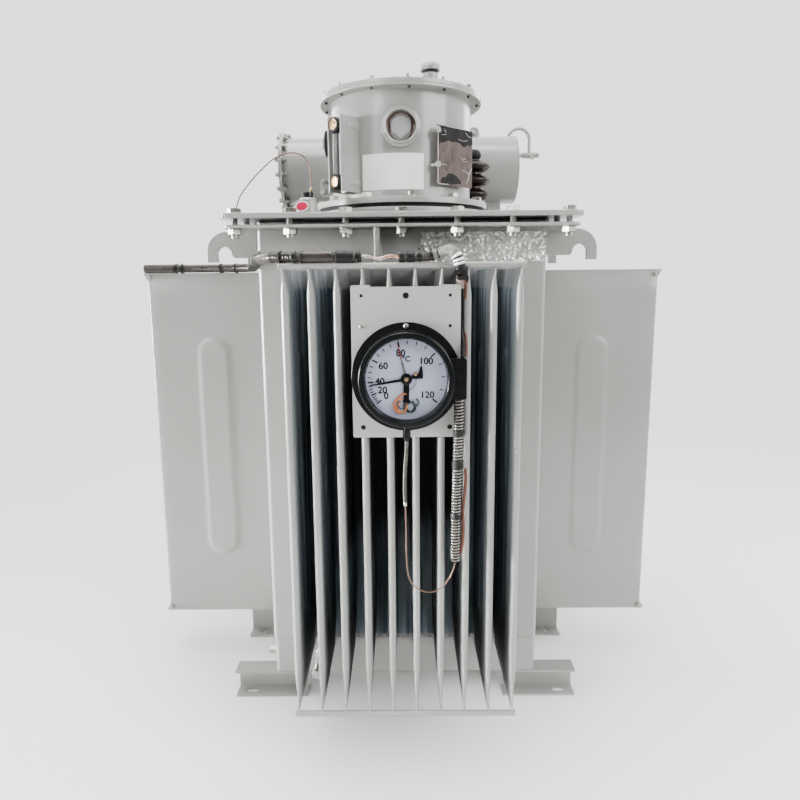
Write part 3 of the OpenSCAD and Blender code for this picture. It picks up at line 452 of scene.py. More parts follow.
# Pale vinyl conduit at the bend: smooth, a little green
paleConduit = makeMottled("paleConduit", {"dark": "#50544e", "light": "#757972", "grainMm": 18,
                                          "gloss": (0.3, 0.42), "depth": 0.00003})
# Pink vinyl sleeve, dusty: pale and matt
dustySleeve = makeMottled("dustySleeve", {"dark": "#74635d", "light": "#98867e", "grainMm": 7,
                                          "gloss": (0.4, 0.55), "depth": 0.00004})
# Red brown wire cover: dull
brownPvc = makeMottled("brownPvc", {"dark": "#34150b", "light": "#6e2f15", "grainMm": 9,
                                    "gloss": (0.35, 0.5), "depth": 0.00002})
# Nylon cable ties, moulded black
blackNylon = makeMottled("blackNylon", {"dark": "#070707", "light": "#101010", "grainMm": 4,
                                        "gloss": (0.35, 0.5), "depth": 0.00002, "ior": 1.53, "shine": 0.25})
# Borosilicate glass, thin: almost no colour of its own, only glints
clearGlass = makeMottled("clearGlass", {"dark": "#0a0c0c", "light": "#101212", "grainMm": 60, "alpha": 0.07,
                                        "gloss": (0.02, 0.04), "depth": 0.000002, "ior": 1.47})
# White enamel on the dial sheet, printed: even and matt, a little violet
dialEnamel = makeMottled("dialEnamel", {"dark": "#b0b5cc", "light": "#c3cadf", "grainMm": 40,
                                        "gloss": (0.5, 0.6), "depth": 0.000005})
# Polished steel plate under a loose film: dark mirror with creases
mirrorPlate = makeMottled("mirrorPlate", {"dark": "#5b5250", "light": "#8a7c78", "grainMm": 26, "metallic": 1.0,
                                          "gloss": (0.05, 0.12), "depth": 0.0012})
# White vinyl: clean and slightly glossy
whiteVinyl = makeMottled("whiteVinyl", {"dark": "#f0f0ed", "light": "#fafaf7", "grainMm": 30,
                                        "gloss": (0.25, 0.35), "depth": 0.00001})
# Polythene film, crumpled and loosely stuck: silvery glints and grey folds
clearFilm = makeMottled("clearFilm", {"dark": "#8b8a85", "light": "#efeee9", "grainMm": 5, "metallic": 0.5,
                                      "gloss": (0.08, 0.2), "depth": 0.0012, "coat": 0.8})
# Painted reflection of dark surroundings in the filmed plate: smoky black with glassy lights
paintedDarkReflection = makeMottled("paintedDarkReflection", {"dark": "#060505", "light": "#171311", "grainMm": 16,
                                        "gloss": (0.06, 0.14), "depth": 0.0002, "shine": 0.35})
# Brown oil film on the bowl behind the sight glass: dark and wet
oilBrown = makeMottled("oilBrown", {"dark": "#3a2a22", "light": "#59443a", "grainMm": 9,
                                    "gloss": (0.15, 0.25), "depth": 0.00002, "ior": 1.47})
# Oil standing in the level tube: grey through the glass
oilGrey = makeMottled("oilGrey", {"dark": "#55565a", "light": "#6d6e71", "grainMm": 30,
                                  "gloss": (0.08, 0.14), "depth": 0.00001, "ior": 1.47})
# Float behind the sight glass: pale plastic, matt
floatGrey = makeMottled("floatGrey", {"dark": "#b4b5b3", "light": "#c4c5c2", "grainMm": 16,
                                      "gloss": (0.4, 0.5), "depth": 0.00001})
# Wire covers in soft vinyl: orange and dark green, slightly glossy
orangePvc = makeMottled("orangePvc", {"dark": "#c4541c", "light": "#e58a35", "grainMm": 8,
                                      "gloss": (0.3, 0.4), "depth": 0.00002})
greenPvc = makeMottled("greenPvc", {"dark": "#152a26", "light": "#26443c", "grainMm": 8,
                                    "gloss": (0.3, 0.4), "depth": 0.00002})
# Red lacquer on the second pointer: thin and even
redLacquer = makeMottled("redLacquer", {"dark": "#7d2a22", "light": "#9c3a2e", "grainMm": 10,
                                        "gloss": (0.3, 0.4), "depth": 0.00001})
# Pink vinyl on the tag: bright and bare
pinkVinyl = makeMottled("pinkVinyl", {"dark": "#b8003c", "light": "#c90a48", "grainMm": 12,
                                      "gloss": (0.3, 0.4), "depth": 0.00001})
# Black printing ink: flat
blackInk = makeMottled("blackInk", {"dark": "#101012", "light": "#1a1a1d", "grainMm": 5,
                                    "gloss": (0.5, 0.6), "depth": 0.00001})
slotMaterials = {"grey_paint": greyEnamel, "black_rubber": nitrileRubber, "gauge_glass": clearGlass,
                 "brass": turnedBrass, "polished_plate": mirrorPlate, "black_plastic": blackPhenolic,
                 "white_dial": dialEnamel, "brown_glaze": brownGlaze, "hose": galvanisedStrip,
                 "copper": copperWire, "zinc_steel": brightZinc}
slotOf = {row["node"]: row["material_slot"] for row in frame["record"]["subparts"]}
for name, node in frame["nodes"].items():
    node.data.materials.clear()
    node.data.materials.append(slotMaterials[slotOf[name]])
print("materials made:", len(bpy.data.materials))


# Hoses, wires and capillaries: routes in millimetres, laid as the solids lie

hoseRoute = [(-586, -46, 967), (-540, -47, 967), (-480, -47, 967), (-420, -50, 967), (-370, -62, 967),
             (-335, -95, 967), (-315, -145, 968), (-302, -200, 970), (-284, -270, 973), (-258, -340, 976),
             (-226, -388, 978), (-190, -404, 978), (-150, -405, 978), (-110, -405, 978), (-78, -405, 977)]
wiresRoute = [(-78, -405, 977), (-60, -404, 979), (-40, -405, 975), (-20, -404, 979), (-6, -405, 977)]
shortHoseRoute = [(-6, -405, 977), (20, -405, 977), (46, -405, 978), (64, -408, 983), (80, -415, 987),
                  (91, -421, 979), (97, -421, 963), (99, -419, 949)]
boxWiresRoute = [(99, -419, 949), (100, -408, 943), (101, -404, 930), (102, -403, 900), (102, -404, 865),
                 (103, -409, 845), (105, -416, 828), (104, -424, 815), (103, -428, 807)]
hangingRoute = [(97, -430, 737), (97, -430, 705), (96, -428, 650), (95, -427, 600), (94, -426, 550),
                (93, -426, 500), (92, -426, 440)]
armourRoute = [(6, -432, 663), (5, -430, 640), (3, -427, 610), (2, -426, 580), (3, -426, 540)]
loopRoute = [(3, -426, 540), (4, -426, 500), (4, -426, 460), (5, -426, 430), (9, -426, 405), (20, -426, 387),
             (36, -426, 378), (54, -426, 378), (72, -426, 390), (84, -426, 408), (90, -426, 425), (92, -426, 440)]
coverCapillaryRoute = [(-180, -197, 1122), (-180, -197, 1145), (-182, -197, 1160), (-187, -197, 1173),
                       (-196, -197, 1183), (-209, -197, 1188), (-225, -197, 1188), (-243, -197, 1182),
                       (-261, -198, 1171), (-293, -200, 1141), (-318, -204, 1110), (-327, -208, 1088),
                       (-330, -210, 1068)]
# "rib" is the pitch and the depth of a ribbed skin, "winding" the pitch and the wire's radius of an outer coil,
# "collar" the radius and the length of the end piece; "backwards" leaves from the route's last point
cords = {
    "boxWires": {"route": boxWiresRoute, "backwards": True, "diameter": 6, "material": blackPvc,
                 "slot": "black_plastic", "lay": "loose", "collar": (9.2, 13), "collarMaterial": blackPvc},
    "shortHose": {"route": shortHoseRoute, "backwards": True, "diameter": 17, "rib": (4.5, 1.0), "slot": "hose",
                  "material": galvanisedStrip, "lay": "loose", "collar": (9.2, 12), "collarMaterial": blackPvc},
    "bareWires": {"route": wiresRoute, "backwards": True, "diameter": 4, "material": orangePvc,
                  "slot": "copper", "lay": "loose", "collar": (9.6, 10), "collarMaterial": blackPvc,
                  "strands": (6, 0.6, 3.6), "strandMaterial": springSteel},
    "longHose": {"route": hoseRoute, "backwards": True, "diameter": 19, "rib": (4.5, 1.1), "slot": "hose",
                 "material": galvanisedStrip, "lay": "loose", "collar": (9.9, 3), "collarMaterial": brownSleeve},
    "hangingHose": {"route": hangingRoute, "diameter": 20, "winding": (5.4, 1.15), "slot": "hose",
                    "material": blackPvc, "windingMaterial": woundSteel, "lay": "hanging", "collar": (9.4, 12),
                    "collarMaterial": blackPvc},
    "armouredCapillary": {"route": armourRoute, "diameter": 7, "winding": (4.2, 0.75), "slot": "hose",
                          "material": blackPvc, "windingMaterial": woundSteel, "lay": "hanging",
                          "collar": (3.2, 9), "collarMaterial": springSteel},
    "capillaryLoop": {"route": loopRoute, "diameter": 2.6, "material": copperWire, "slot": "copper",
                      "lay": "hanging", "collar": (2.4, 8), "collarMaterial": blackPvc},
    "coverCapillary": {"route": coverCapillaryRoute, "diameter": 2.6, "material": copperWire,
                       "slot": "copper", "lay": "loose"},
}


def woundLine(line, radius, pitch):
    # A right-hand coil round a line
    points, side, walked = [], None, 0.0
    for i, here in enumerate(line):
        ahead = (line[min(i + 1, len(line) - 1)] - line[max(i - 1, 0)]).normalized()
        if side is None:
            side = ahead.orthogonal().normalized()
        side = (side - ahead * side.dot(ahead)).normalized()
        if i:
            walked += (here - line[i - 1]).length
        turn = 2 * math.pi * walked / pitch
        points.append(here + radius * (math.cos(turn) * side + math.sin(turn) * ahead.cross(side)))
    return points


def addCord(name, look):
    route = [Vector(p) * mm for p in look["route"]]
    if look.get("backwards"):
        route.reverse()
    pitch, depth = (v * mm for v in look.get("rib", (0, 0)))
    radius = look["diameter"] * mm / 2
    core = radius
    line, length = alongCurve(route, pitch / 6 if pitch else 3 * mm)
    if "winding" in look:
        turnPitch, wire = (v * mm for v in look["winding"])
        core = radius - 0.6 * wire
        coil = woundLine(alongCurve(route, turnPitch / 16)[0], radius - wire, turnPitch)
        addPiece(name + "Winding", tube(coil, lambda walked: wire, 7), look["windingMaterial"],
                              smooth=80, weighted=False)
    if "strands" in look:
        count, wire, spread = look["strands"]
        loose = []
        for k in range(count):
            stray = [p + Vector((0, random.uniform(-spread, 0), random.uniform(-spread, spread / 2))) * mm
                     for p in route]
            loose.append(tube(alongCurve(stray, 2 * mm)[0], lambda walked: wire * mm, 6))
        addPiece(name + "Strands", joined(loose), look["strandMaterial"], smooth=80,
                              weighted=False)

    def skinRadius(walked):
        return core - depth * (0.5 - 0.5 * math.cos(2 * math.pi * walked / pitch)) if pitch else core

    piece = addPiece(name, tube(line, skinRadius, 16 if pitch else 12), look["material"],
                     smooth=80, weighted=False)
    if "collar" in look:
        wide, deep = (v * mm for v in look["collar"])
        back = (line[-4] - line[-1]).normalized()
        profile = roundCorners([(0, 0, 0), (wide * 0.8, 0, 0), (wide, deep * 0.2, 0.001),
                                (wide, deep * 0.8, 0.001), (core * 0.9, deep, 0)], 3)
        addPiece(name + "Collar", moved(lathe(profile, 24), at(line[-1], back)),
                              look["collarMaterial"])
    print("cord", name, round(length, 3), "m")
    return piece


random.seed(5)
cordPieces = {name: addCord(name, look) for name, look in cords.items()}
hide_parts("hoses")
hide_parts("hanging_hose")
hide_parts("capillaries")
print("cords laid:", len(cordPieces))


# The CAD pieces with their edges broken, in millimetres

edgeWidths = {"tank_shell": 1.5, "tank_pan": 2.5, "tank_rim": 1.4, "limit_strip": 0.6, "cover_gasket": 0.5,
              "cover": 1.6, "rim_gusset": 1.2, "front_lugs": 1.2, "rear_lugs": 1.2, "front_feet": 1.0,
              "rear_feet": 1.0, "front_bars": 1.2, "rear_bars": 1.2, "side_rods": 1.2, "turret_collar": 1.5,
              "turret_gasket": 0.8, "turret_shell": 1.2, "turret_lid": 1.0,
              "side_port": 0.8, "level_guard": 0.6, "level_fittings": 0.8,
              "blank_plate": 0.4, "plate_bracket": 0.8, "earth_pad": 1.0, "drum_shell": 1.4,
              "drum_right_end": 1.6, "drum_left_end": 1.2, "drum_legs": 1.0, "drum_pipe": 0.8,
              "breather_valve": 0.8, "pocket_body": 1.0, "pocket_cap": 1.0, "pocket_gland": 0.6,
              "gauge_plate": 0.5, "gauge_case": 0.8, "terminal_box": 1.2, "gauge_stem": 0.8,
              "earth_bolt": 0.8, "bushing_cap": 0.8, "drum_eye": 0.3, "breather_pipe": 0.3}
ownMaterials = {"side_port": nitrileRubber, "limit_strip": dullEnamel, "tank_shell": wallEnamel,
                "gauge_plate": plateEnamel}  # all others go by their slot
for node, width in edgeWidths.items():
    softNode(node, ownMaterials.get(node, slotMaterials[slotOf[node]]), width * mm)
print("edges broken on", len(edgeWidths), "pieces")


# Fins: pressed sheet with rounded noses, flattened ends and one long bead on each face

fins = {"thick": 13, "endThick": 3, "pitch": 45, "topTaper": 50, "bottomTaper": 85, "flare": 9, "flareHeight": 22,
        "beadWidth": 78, "beadSlope": 10, "beadProud": 3, "beadLength": 532, "beadLift": 148}


def easeStep(t):
    t = min(1.0, max(0.0, t))
    return t * t * (3 - 2 * t)


def finShape(look, depth, height):
    # Stands out along -Y from the wall at 0, from 0 to its height
    low = look["beadWidth"] / 2
    middle = depth / 2
    beadStart, beadEnd = look["beadLift"] + low, look["beadLift"] + look["beadLength"] - low
    noseSteps = 8
    across = [0, 0.08 * depth, 0.2 * depth]
    across += [middle + low * f for f in (-1.12, -1, -0.9, -0.8, -0.7, -0.6, -0.35, 0, 0.35, 0.6, 0.7, 0.8, 0.9,
                                          1, 1.12)]
    across += [0.8 * depth, 0.92 * depth]
    levels = [0, 2, 5, 10, 16, look["flareHeight"], 32, 45, 60, 75, look["bottomTaper"], 105, 125]
    levels += [look["beadLift"] + low * f for f in (0, 0.1, 0.2, 0.3, 0.4, 0.6, 0.8, 1)]
    levels += [beadStart + (beadEnd - beadStart) * k / 8 for k in range(1, 8)]
    levels += [beadEnd + low * f for f in (0, 0.2, 0.4, 0.6, 0.7, 0.8, 0.9, 1)]
    levels += [height - v for v in (120, 85, 65, look["topTaper"], 42, 34, 27, look["flareHeight"], 16, 10, 5, 2, 0)]
    points, faces = [], []
    for z in sorted(levels):
        fat = easeStep(min(z / look["bottomTaper"], (height - z) / look["topTaper"]))
        half = (look["endThick"] + (look["thick"] - look["endThick"]) * fat) / 2
        out = look["flare"] * (1 - easeStep(min(z, height - z) / look["flareHeight"]))
        reach = depth + out
        ring = []
        for side in (-1, 1):
            face = []
            for y in across:
                alongBead = min(max(z, beadStart), beadEnd)
                away = math.hypot(y - middle, z - alongBead)
                proud = look["beadProud"] * easeStep((low - away) / look["beadSlope"])
                face.append((side * (half + proud), -y * (1 + out / depth * easeStep(y / depth))))
            ring.append(face)
        arc = [math.pi * k / noseSteps for k in range(noseSteps + 1)]
        nose = [(half * math.cos(a), -(reach - half + half * math.sin(a))) for a in arc]
        loop = ring[0] + nose[::-1] + ring[1][::-1]
        points += [Vector((x, y, z)) for x, y in loop]
    count = len(loop)
    rows = len(levels)
    for i in range(rows - 1):
        for k in range(count - 1):
            faces.append([i * count + k, i * count + k + 1, (i + 1) * count + k + 1, (i + 1) * count + k])
    faces.append(list(range(count))[::-1])
    faces.append(list(range((rows - 1) * count, rows * count)))
    return [p * mm for p in points], faces


def addFins(node, turn, depth, count, material):
    low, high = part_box(node)
    shape = finShape(fins, depth, (high.z - low.z) / mm)
    middle = (low.y + high.y) / 2
    wall = {0: (0, high.y), 180: (0, low.y), -90: (high.x, middle), 90: (low.x, middle)}[turn]
    spin = Matrix.Translation((*wall, low.z)) @ Matrix.Rotation(math.radians(turn), 4, "Z")
    row = [moved(shape, spin @ Matrix.Translation(((i - (count - 1) / 2) * fins["pitch"] * mm, 0, 0)))
           for i in range(count)]
    addPiece(node + "Pressed", joined(row), material, [node], smooth=50, weighted=False)


finRows = {  # degrees turned from the front, depth, count and material
    "front_fins": (0, 214, 10, finEnamel),
    "rear_fins": (180, 214, 10, finEnamel),
    "left_fins": (-90, 286, 4, greyEnamel),
    "right_fins": (90, 286, 4, greyEnamel),
}
for node, row in finRows.items():
    addFins(node, *row)
print("fins pressed")


# Bolts, nuts and washers, by their width across flats in millimetres

def hexHead(flats, height):
    # A hex with its corners turned off at 30 degrees
    topRadius = flats / 2 * 0.96
    steps = 24
    turns = [2 * math.pi * k / steps for k in range(steps)]
    rim = [(flats / 2) / math.cos(turn % (math.pi / 3) - math.pi / 6) for turn in turns]
    points = []
    for level in ("foot", "edge", "top"):
        for k, turn in enumerate(turns):
            radius = topRadius if level == "top" else rim[k]
            fall = (rim[k] - topRadius) * math.tan(math.radians(30))
            z = {"foot": 0, "edge": height - fall, "top": height}[level]
            points.append(Vector((radius * math.cos(turn), radius * math.sin(turn), z)) * mm)
    faces = [[i * steps + k, i * steps + (k + 1) % steps, (i + 1) * steps + (k + 1) % steps, (i + 1) * steps + k]
             for i in range(2) for k in range(steps)]
    faces.append(list(range(2 * steps, 3 * steps)))
    faces.append(list(range(steps))[::-1])
    return points, faces


def disc(radius, height, edge=0.3):
    profile = [(0, 0), (radius, 0), (radius, height - edge), (radius - edge, height), (0, height)]
    return turned(profile, 28)


def boltSet(flats, height, washer, shank, places, axis):
    # Washer, hex and the end of a thread at each place
    shapes = []
    for place in places:
        spin = random.uniform(0, math.pi / 3)
        shapes.append(moved(disc(washer, 2.0), at(place, axis)))
        seat = Vector(place) + Vector(axis) * 2.0 * mm
        shapes.append(moved(hexHead(flats, height), at(seat, axis, spin)))
        if shank:
            end = seat + Vector(axis) * height * mm
            shapes.append(moved(disc(flats * 0.32, shank, 1.0), at(end, axis)))
    return shapes


random.seed(7)
coverLow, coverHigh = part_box("cover")
rimLow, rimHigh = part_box("tank_rim")
shellLow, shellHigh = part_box("tank_shell")
coverBolts = {"flats": 24, "head": 9, "nut": 10, "washer": 14, "thread": 7, "shank": 6.4, "inFromEdge": 25,
              "offWall": 30, "front": 7, "side": 4}


def coverBoltPlaces(look):
    edgeX = coverHigh.x - look["inFromEdge"] * mm
    frontY, rearY = shellLow.y - look["offWall"] * mm, shellHigh.y + look["offWall"] * mm
    front = [(-edgeX + 2 * edgeX * k / (look["front"] - 1), frontY) for k in range(look["front"])]
    rear = [(x, rearY) for x in (-edgeX, -edgeX / 2, 0, edgeX / 2, edgeX)]
    gap = (rearY - frontY) / (look["side"] + 1)
    sides = [(s * edgeX, frontY + gap * k) for s in (-1, 1) for k in range(1, look["side"] + 1)]
    return front + rear + sides


plan = coverBoltPlaces(coverBolts)
heads = boltSet(coverBolts["flats"], coverBolts["head"], coverBolts["washer"], 0,
                [(x, y, coverHigh.z) for x, y in plan], (0, 0, 1))
addPiece("coverBoltHeads", joined(heads), brightZinc)
nuts = boltSet(coverBolts["flats"], coverBolts["nut"], coverBolts["washer"], coverBolts["thread"],
               [(x, y, rimLow.z) for x, y in plan], (0, 0, -1))
shanks = [moved(disc(coverBolts["shank"], (coverLow.z - rimHigh.z) / mm), at((x, y, rimHigh.z)))
          for x, y in plan]
addPiece("coverNuts", joined(nuts), brightZinc)
addPiece("coverShanks", joined(shanks), dullEnamel)

turretLow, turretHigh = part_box("turret_shell")
lidLow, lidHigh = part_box("turret_lid")
turretAxis = middleOf(lidLow, lidHigh) * Vector((1, 1, 0))
turretRadius = 155  # outside of its wall


def onRing(count, radius, z, start=0.0):
    turns = [start + 2 * math.pi * k / count for k in range(count)]
    return [(turretAxis.x + radius * mm * math.sin(turn), turretAxis.y - radius * mm * math.cos(turn), z)
            for turn in turns]


turretFlanges = {"lid": 6, "foot": 12}  # thickness
lidBolts = {"count": 14, "radius": 168.5, "start": 0.1, "flats": 10, "head": 6, "washer": 6.5, "thread": 3.2}
footBolts = {"count": 12, "radius": 177, "start": 0.12, "flats": 19, "head": 8, "washer": 11}
lidRing = onRing(lidBolts["count"], lidBolts["radius"], lidHigh.z, lidBolts["start"])
lidHeads = boltSet(lidBolts["flats"], lidBolts["head"], lidBolts["washer"], 0, lidRing, (0, 0, 1))
lidEnds = [moved(disc(lidBolts["thread"], 4, 0.6), at((x, y, turretHigh.z - turretFlanges["lid"] * mm), (0, 0, -1)))
           for x, y, z in lidRing]
addPiece("lidBoltEnds", joined(lidEnds), dullSteel)
footRing = onRing(footBolts["count"], footBolts["radius"], turretLow.z + turretFlanges["foot"] * mm,
                  footBolts["start"])
footHeads = boltSet(footBolts["flats"], footBolts["head"], footBolts["washer"], 0, footRing, (0, 0, 1))
addPiece("turretBolts", joined(lidHeads + footHeads), brightZinc)
print("bolts set:", len(plan), "on the cover")

# Drain pipe with its weld, thread and plug, set a little left of and above the solid
drainPipe = {"radius": 8.3, "plug": 10.6, "left": 8, "up": 6}


def drainProfile(long, pipe, plug):
    return roundCorners([(0, -4, 0), (plug + 1.5, -4, 0), (plug + 1.5, 2, 2), (pipe + 0.6, 6, 2), (pipe, 10, 2),
                         (pipe, long - 28, 0.2), (pipe - 0.8, long - 27, 0.3), (pipe - 0.8, long - 22, 0.3),
                         (plug - 0.8, long - 21, 0.6), (plug, long - 19, 0.8), (plug, long - 2, 1.2),
                         (plug - 1.6, long - 0.4, 1), (plug - 2.6, long - 0.8, 0.5), (0, long - 0.2, 0)], 4)


drainLow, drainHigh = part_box("drain_pipe")
nipple = turned(drainProfile((drainHigh.y - drainLow.y) / mm, drainPipe["radius"], drainPipe["plug"]), 48)
drainMiddle = middleOf(drainLow, drainHigh) + Vector((-drainPipe["left"], 0, drainPipe["up"])) * mm
addPiece("drainNipple", moved(nipple, facing((drainMiddle.x, drainHigh.y, drainMiddle.z))), greyEnamel,
         ["drain_pipe"])


# Weld beads: rippled runs of metal where plates meet

welds = {"radius": 2.4, "ripple": 0.5, "rippleMm": 4.5, "waver": 0.5}
spatter = {"count": 22, "from": -236, "pitch": 22.5, "stray": 5, "half": (1.5, 5), "out": 2.6, "up": (1.5, 3.5)}


def weldRun(stops, closed=False):
    line = alongCurve(stops + stops[:1] if closed else stops, 1.5 * mm)[0]

    def radiusAt(walked):
        ripple = welds["ripple"] * math.sin(2 * math.pi * walked / mm / welds["rippleMm"])
        waver = welds["waver"] * noise.noise(Vector((walked * 60, line[0].x * 9, line[0].z * 9)))
        return (welds["radius"] + ripple + waver) * mm
    return tube(line, radiusAt, 8)


panLow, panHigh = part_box("tank_pan")
beads = []
for side, end in ((-1, panLow.y), (1, panHigh.y)):
    for k in range(spatter["count"]):
        x = (spatter["from"] + spatter["pitch"] * k + random.uniform(-spatter["stray"], spatter["stray"])) * mm
        half = random.uniform(*spatter["half"]) * mm
        beads.append(weldRun([Vector((x + half * share, end + side * spatter["out"] * mm,
                                      panHigh.z + random.uniform(*spatter["up"]) * mm))
                              for share in (-1, -0.4, 0.4, 1)]))
# The spatter is in the paler plate enamel: a painted highlight on the weld dots
addPiece("weldSpatter", joined(beads), plateEnamel, smooth=70, weighted=False)
gussetLow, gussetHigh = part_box("rim_gusset")
runs = [weldRun([Vector((x, shellLow.y - 0.5 * mm, gussetLow.z + (rimLow.z - gussetLow.z) * k / 8)) for k in range(9)])
        for x in (gussetLow.x - 0.5 * mm, gussetHigh.x + 0.5 * mm)]
foot = onRing(48, turretRadius + 1, turretLow.z + (turretFlanges["foot"] + 0.5) * mm)
runs.append(weldRun([Vector(p) for p in foot], True))
addPiece("weldBeads", joined(runs), greyEnamel, smooth=70, weighted=False)
print("weld beads laid:", len(runs))


# Drum: bolts round the left flange, a plug in the lifting eye and wing nuts on the breather's valve

drumBolts = {"count": 16, "radius": 94.5, "flats": 11, "head": 6, "washer": 7.5, "thread": 4}
drumLow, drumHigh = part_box("drum_shell")
drumAxis = middleOf(drumLow, drumHigh)
endLow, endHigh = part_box("drum_left_end")
flangeThick = endHigh.x - endLow.x
flangeTurns = [2 * math.pi * (k + 0.5) / drumBolts["count"] for k in range(drumBolts["count"])]
flangeRing = [(drumAxis.y + drumBolts["radius"] * mm * math.cos(turn),
               drumAxis.z + drumBolts["radius"] * mm * math.sin(turn)) for turn in flangeTurns]
outside = boltSet(drumBolts["flats"], drumBolts["head"], drumBolts["washer"], 0,
                  [(endLow.x, y, z) for y, z in flangeRing], (-1, 0, 0))
inside = boltSet(drumBolts["flats"], drumBolts["head"], drumBolts["washer"], drumBolts["thread"],
                 [(endHigh.x + flangeThick, y, z) for y, z in flangeRing], (1, 0, 0))
addPiece("drumBolts", joined(outside + inside), brightZinc)

eyeLow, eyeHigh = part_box("drum_eye")
eyeMiddle = middleOf(eyeLow, eyeHigh)
eyePlug = roundCorners([(0, -6, 0), (7.4, -6, 1.2), (7.4, 5, 1.5), (4.6, 6.2, 0.6), (4.6, 8.4, 1), (0, 8.6, 0)], 3)
addPiece("eyePlug", moved(turned(eyePlug, 28), at((eyeMiddle.x, eyeMiddle.y, eyeHigh.z - 16.25 * mm), (0, -1, 0))),
         greyEnamel)

wingNut = {"hub": 5.6, "width": 4, "span": 13, "thick": 3.2}
valveNuts = {"first": 8, "second": 46, "tail": 9}  # the nuts from the valve's left end, its tail from the right


def wingShape(look):
    # A hub across the valve with two rounded wings, one up and one down
    tall = look["width"] * 2
    hub = roundCorners([(0, 0, 0), (look["hub"], 0, 0.8), (look["hub"] * 0.8, tall, 0.8), (0, tall, 0)], 3)
    wing = roundCorners([(-3, 3, 0), (3, 3, 0), (4.6, look["span"], 2.6), (-4.6, look["span"], 2.6)], 4, True)
    blade = moved(cutOut(wing, look["thick"]), Matrix.Translation((0, 0, look["width"] * mm)))
    return joined([turned(hub, 20), blade, moved(blade, Matrix.Rotation(math.pi, 4, "Z"))])


valveLow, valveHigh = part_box("breather_valve")
valveMiddle = middleOf(valveLow, valveHigh)
tail = roundCorners([(0, 0, 0), (6.8, 0, 0.8), (6.8, 5, 0.8), (4.4, 6, 0.4), (4.4, 8, 0.6), (0, 8, 0)], 3)
wings = [moved(shape, at((x, valveMiddle.y, valveMiddle.z), axis, spin)) for shape, x, axis, spin in (
    (wingShape(wingNut), valveLow.x + valveNuts["first"] * mm, (1, 0, 0), 0.5),
    (turned(tail, 6), valveHigh.x - valveNuts["tail"] * mm, (1, 0, 0), 0),
    (wingShape(wingNut), valveLow.x + valveNuts["second"] * mm, (0, -0.3, -1), 0.3))]
addPiece("valveNuts", joined(wings), brightZinc, soft=0.0003)


# Turret: sight glass with its float, level gauge, bare label, blank plate and earth bolts

sightGlass = {"bore": 30, "float": 18.5, "tip": 24, "floatUp": 2, "foot": 4}
glassLow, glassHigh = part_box("sight_glass")
glassMiddle = middleOf(glassLow, glassHigh)
sightCentre = Vector((glassMiddle.x, glassLow.y, glassMiddle.z))
bezelLow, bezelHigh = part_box("sight_bezel")


def sightProfiles(look, wide):
    # The ring with its wide foot, the domed lens and the bowl behind it
    bore, foot = look["bore"], wide + look["foot"]
    ring = roundCorners([(bore, -17, 0), (bore, 1.4, 0.8), (bore + 1.6, 2.6, 1), (wide - 2.6, 2.6, 1.6),
                         (wide - 2.2, -2, 0.6), (foot, -4, 2), (foot, -17, 0)], 4)
    lens = roundCorners([(0, -5, 0), (bore, -5, 0), (bore, -1.5, 0), (22, -0.3, 6), (0, 0, 0)], 4)
    bowl = [(0, -8.4), (24, -8.4), (bore, -5.2), (bore, -9.5), (0, -9.5)]
    return ring, lens, bowl


def floatShape(look, grow, thick):
    # A disc drawn out to a point below
    turns = [math.radians(-90 + 33 + 294 * k / 40) for k in range(41)]
    edge = [(look["float"] * math.cos(t), look["float"] * math.sin(t)) for t in turns] + [(0, -look["tip"])]
    return cutOut([(x * grow, y * grow) for x, y in edge], thick)


sightRing, sightLens, sightBowl = sightProfiles(sightGlass, (bezelHigh.x - bezelLow.x) / 2 / mm)
addPiece("sightRing", moved(turned(sightRing, 96), facing((sightCentre.x, bezelLow.y, sightCentre.z))), greyEnamel,
         ["sight_bezel"])
addPiece("sightLens", moved(turned(sightLens, 64), facing(sightCentre)), clearGlass, ["sight_glass"])
addPiece("sightBowl", moved(turned(sightBowl, 64), facing(sightCentre)), oilBrown)
floatPlace = sightCentre + Vector((0, 8.0, sightGlass["floatUp"])) * mm
addPiece("sightFloat", moved(floatShape(sightGlass, 1.0, 1.0), facing(floatPlace)), floatGrey,
         soft=0.0002)
# A pale disc a little wider behind the float: painted highlight round the float's edge
addPiece("floatRimHighlight", moved(floatShape(sightGlass, 1.09, 0.6), facing(floatPlace + Vector((0, 0.2, 0)) * mm)),
         dialEnamel)

levelGauge = {"turn": -40, "forward": 7, "glass": (6.2, 7.8), "column": 3.4, "backing": (9.4, 10.2), "past": 3,
              "fitting": 15, "glandOut": 38}
levelTurn = math.radians(levelGauge["turn"])
levelOut = Vector((math.sin(levelTurn), -math.cos(levelTurn), 0))
tubeLow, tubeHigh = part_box("level_tube")
tubeMiddle = middleOf(tubeLow, tubeHigh)
tubeFoot = Vector((tubeMiddle.x, tubeMiddle.y, tubeLow.z)) + levelOut * levelGauge["forward"] * mm
tubeTall = (tubeHigh.z - tubeLow.z) / mm
bore, skin = levelGauge["glass"]
foot, head = -levelGauge["past"], tubeTall + levelGauge["past"]
levelGlass = [(bore, foot), (skin, foot), (skin, head), (bore, head), (bore, foot)]
addPiece("levelGlass", moved(turned(levelGlass, 32), at(tubeFoot)), clearGlass, ["level_tube"],
         weighted=False)
oilColumn = [(0, foot), (levelGauge["column"], foot), (levelGauge["column"], head), (0, head)]
addPiece("levelColumn", moved(turned(oilColumn, 24), at(tubeFoot)), oilGrey)
fittingLow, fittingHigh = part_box("level_fittings")
fittingAxes = [Vector((turretAxis.x, turretAxis.y, z)) for z in (fittingLow.z + levelGauge["fitting"] * mm,
                                                                 fittingHigh.z - levelGauge["fitting"] * mm)]
glandRing = roundCorners([(10.6, 0, 0), (15.3, 0, 1.5), (15.3, 17, 2), (11.5, 19.5, 0.8), (10.6, 18, 0)], 3)
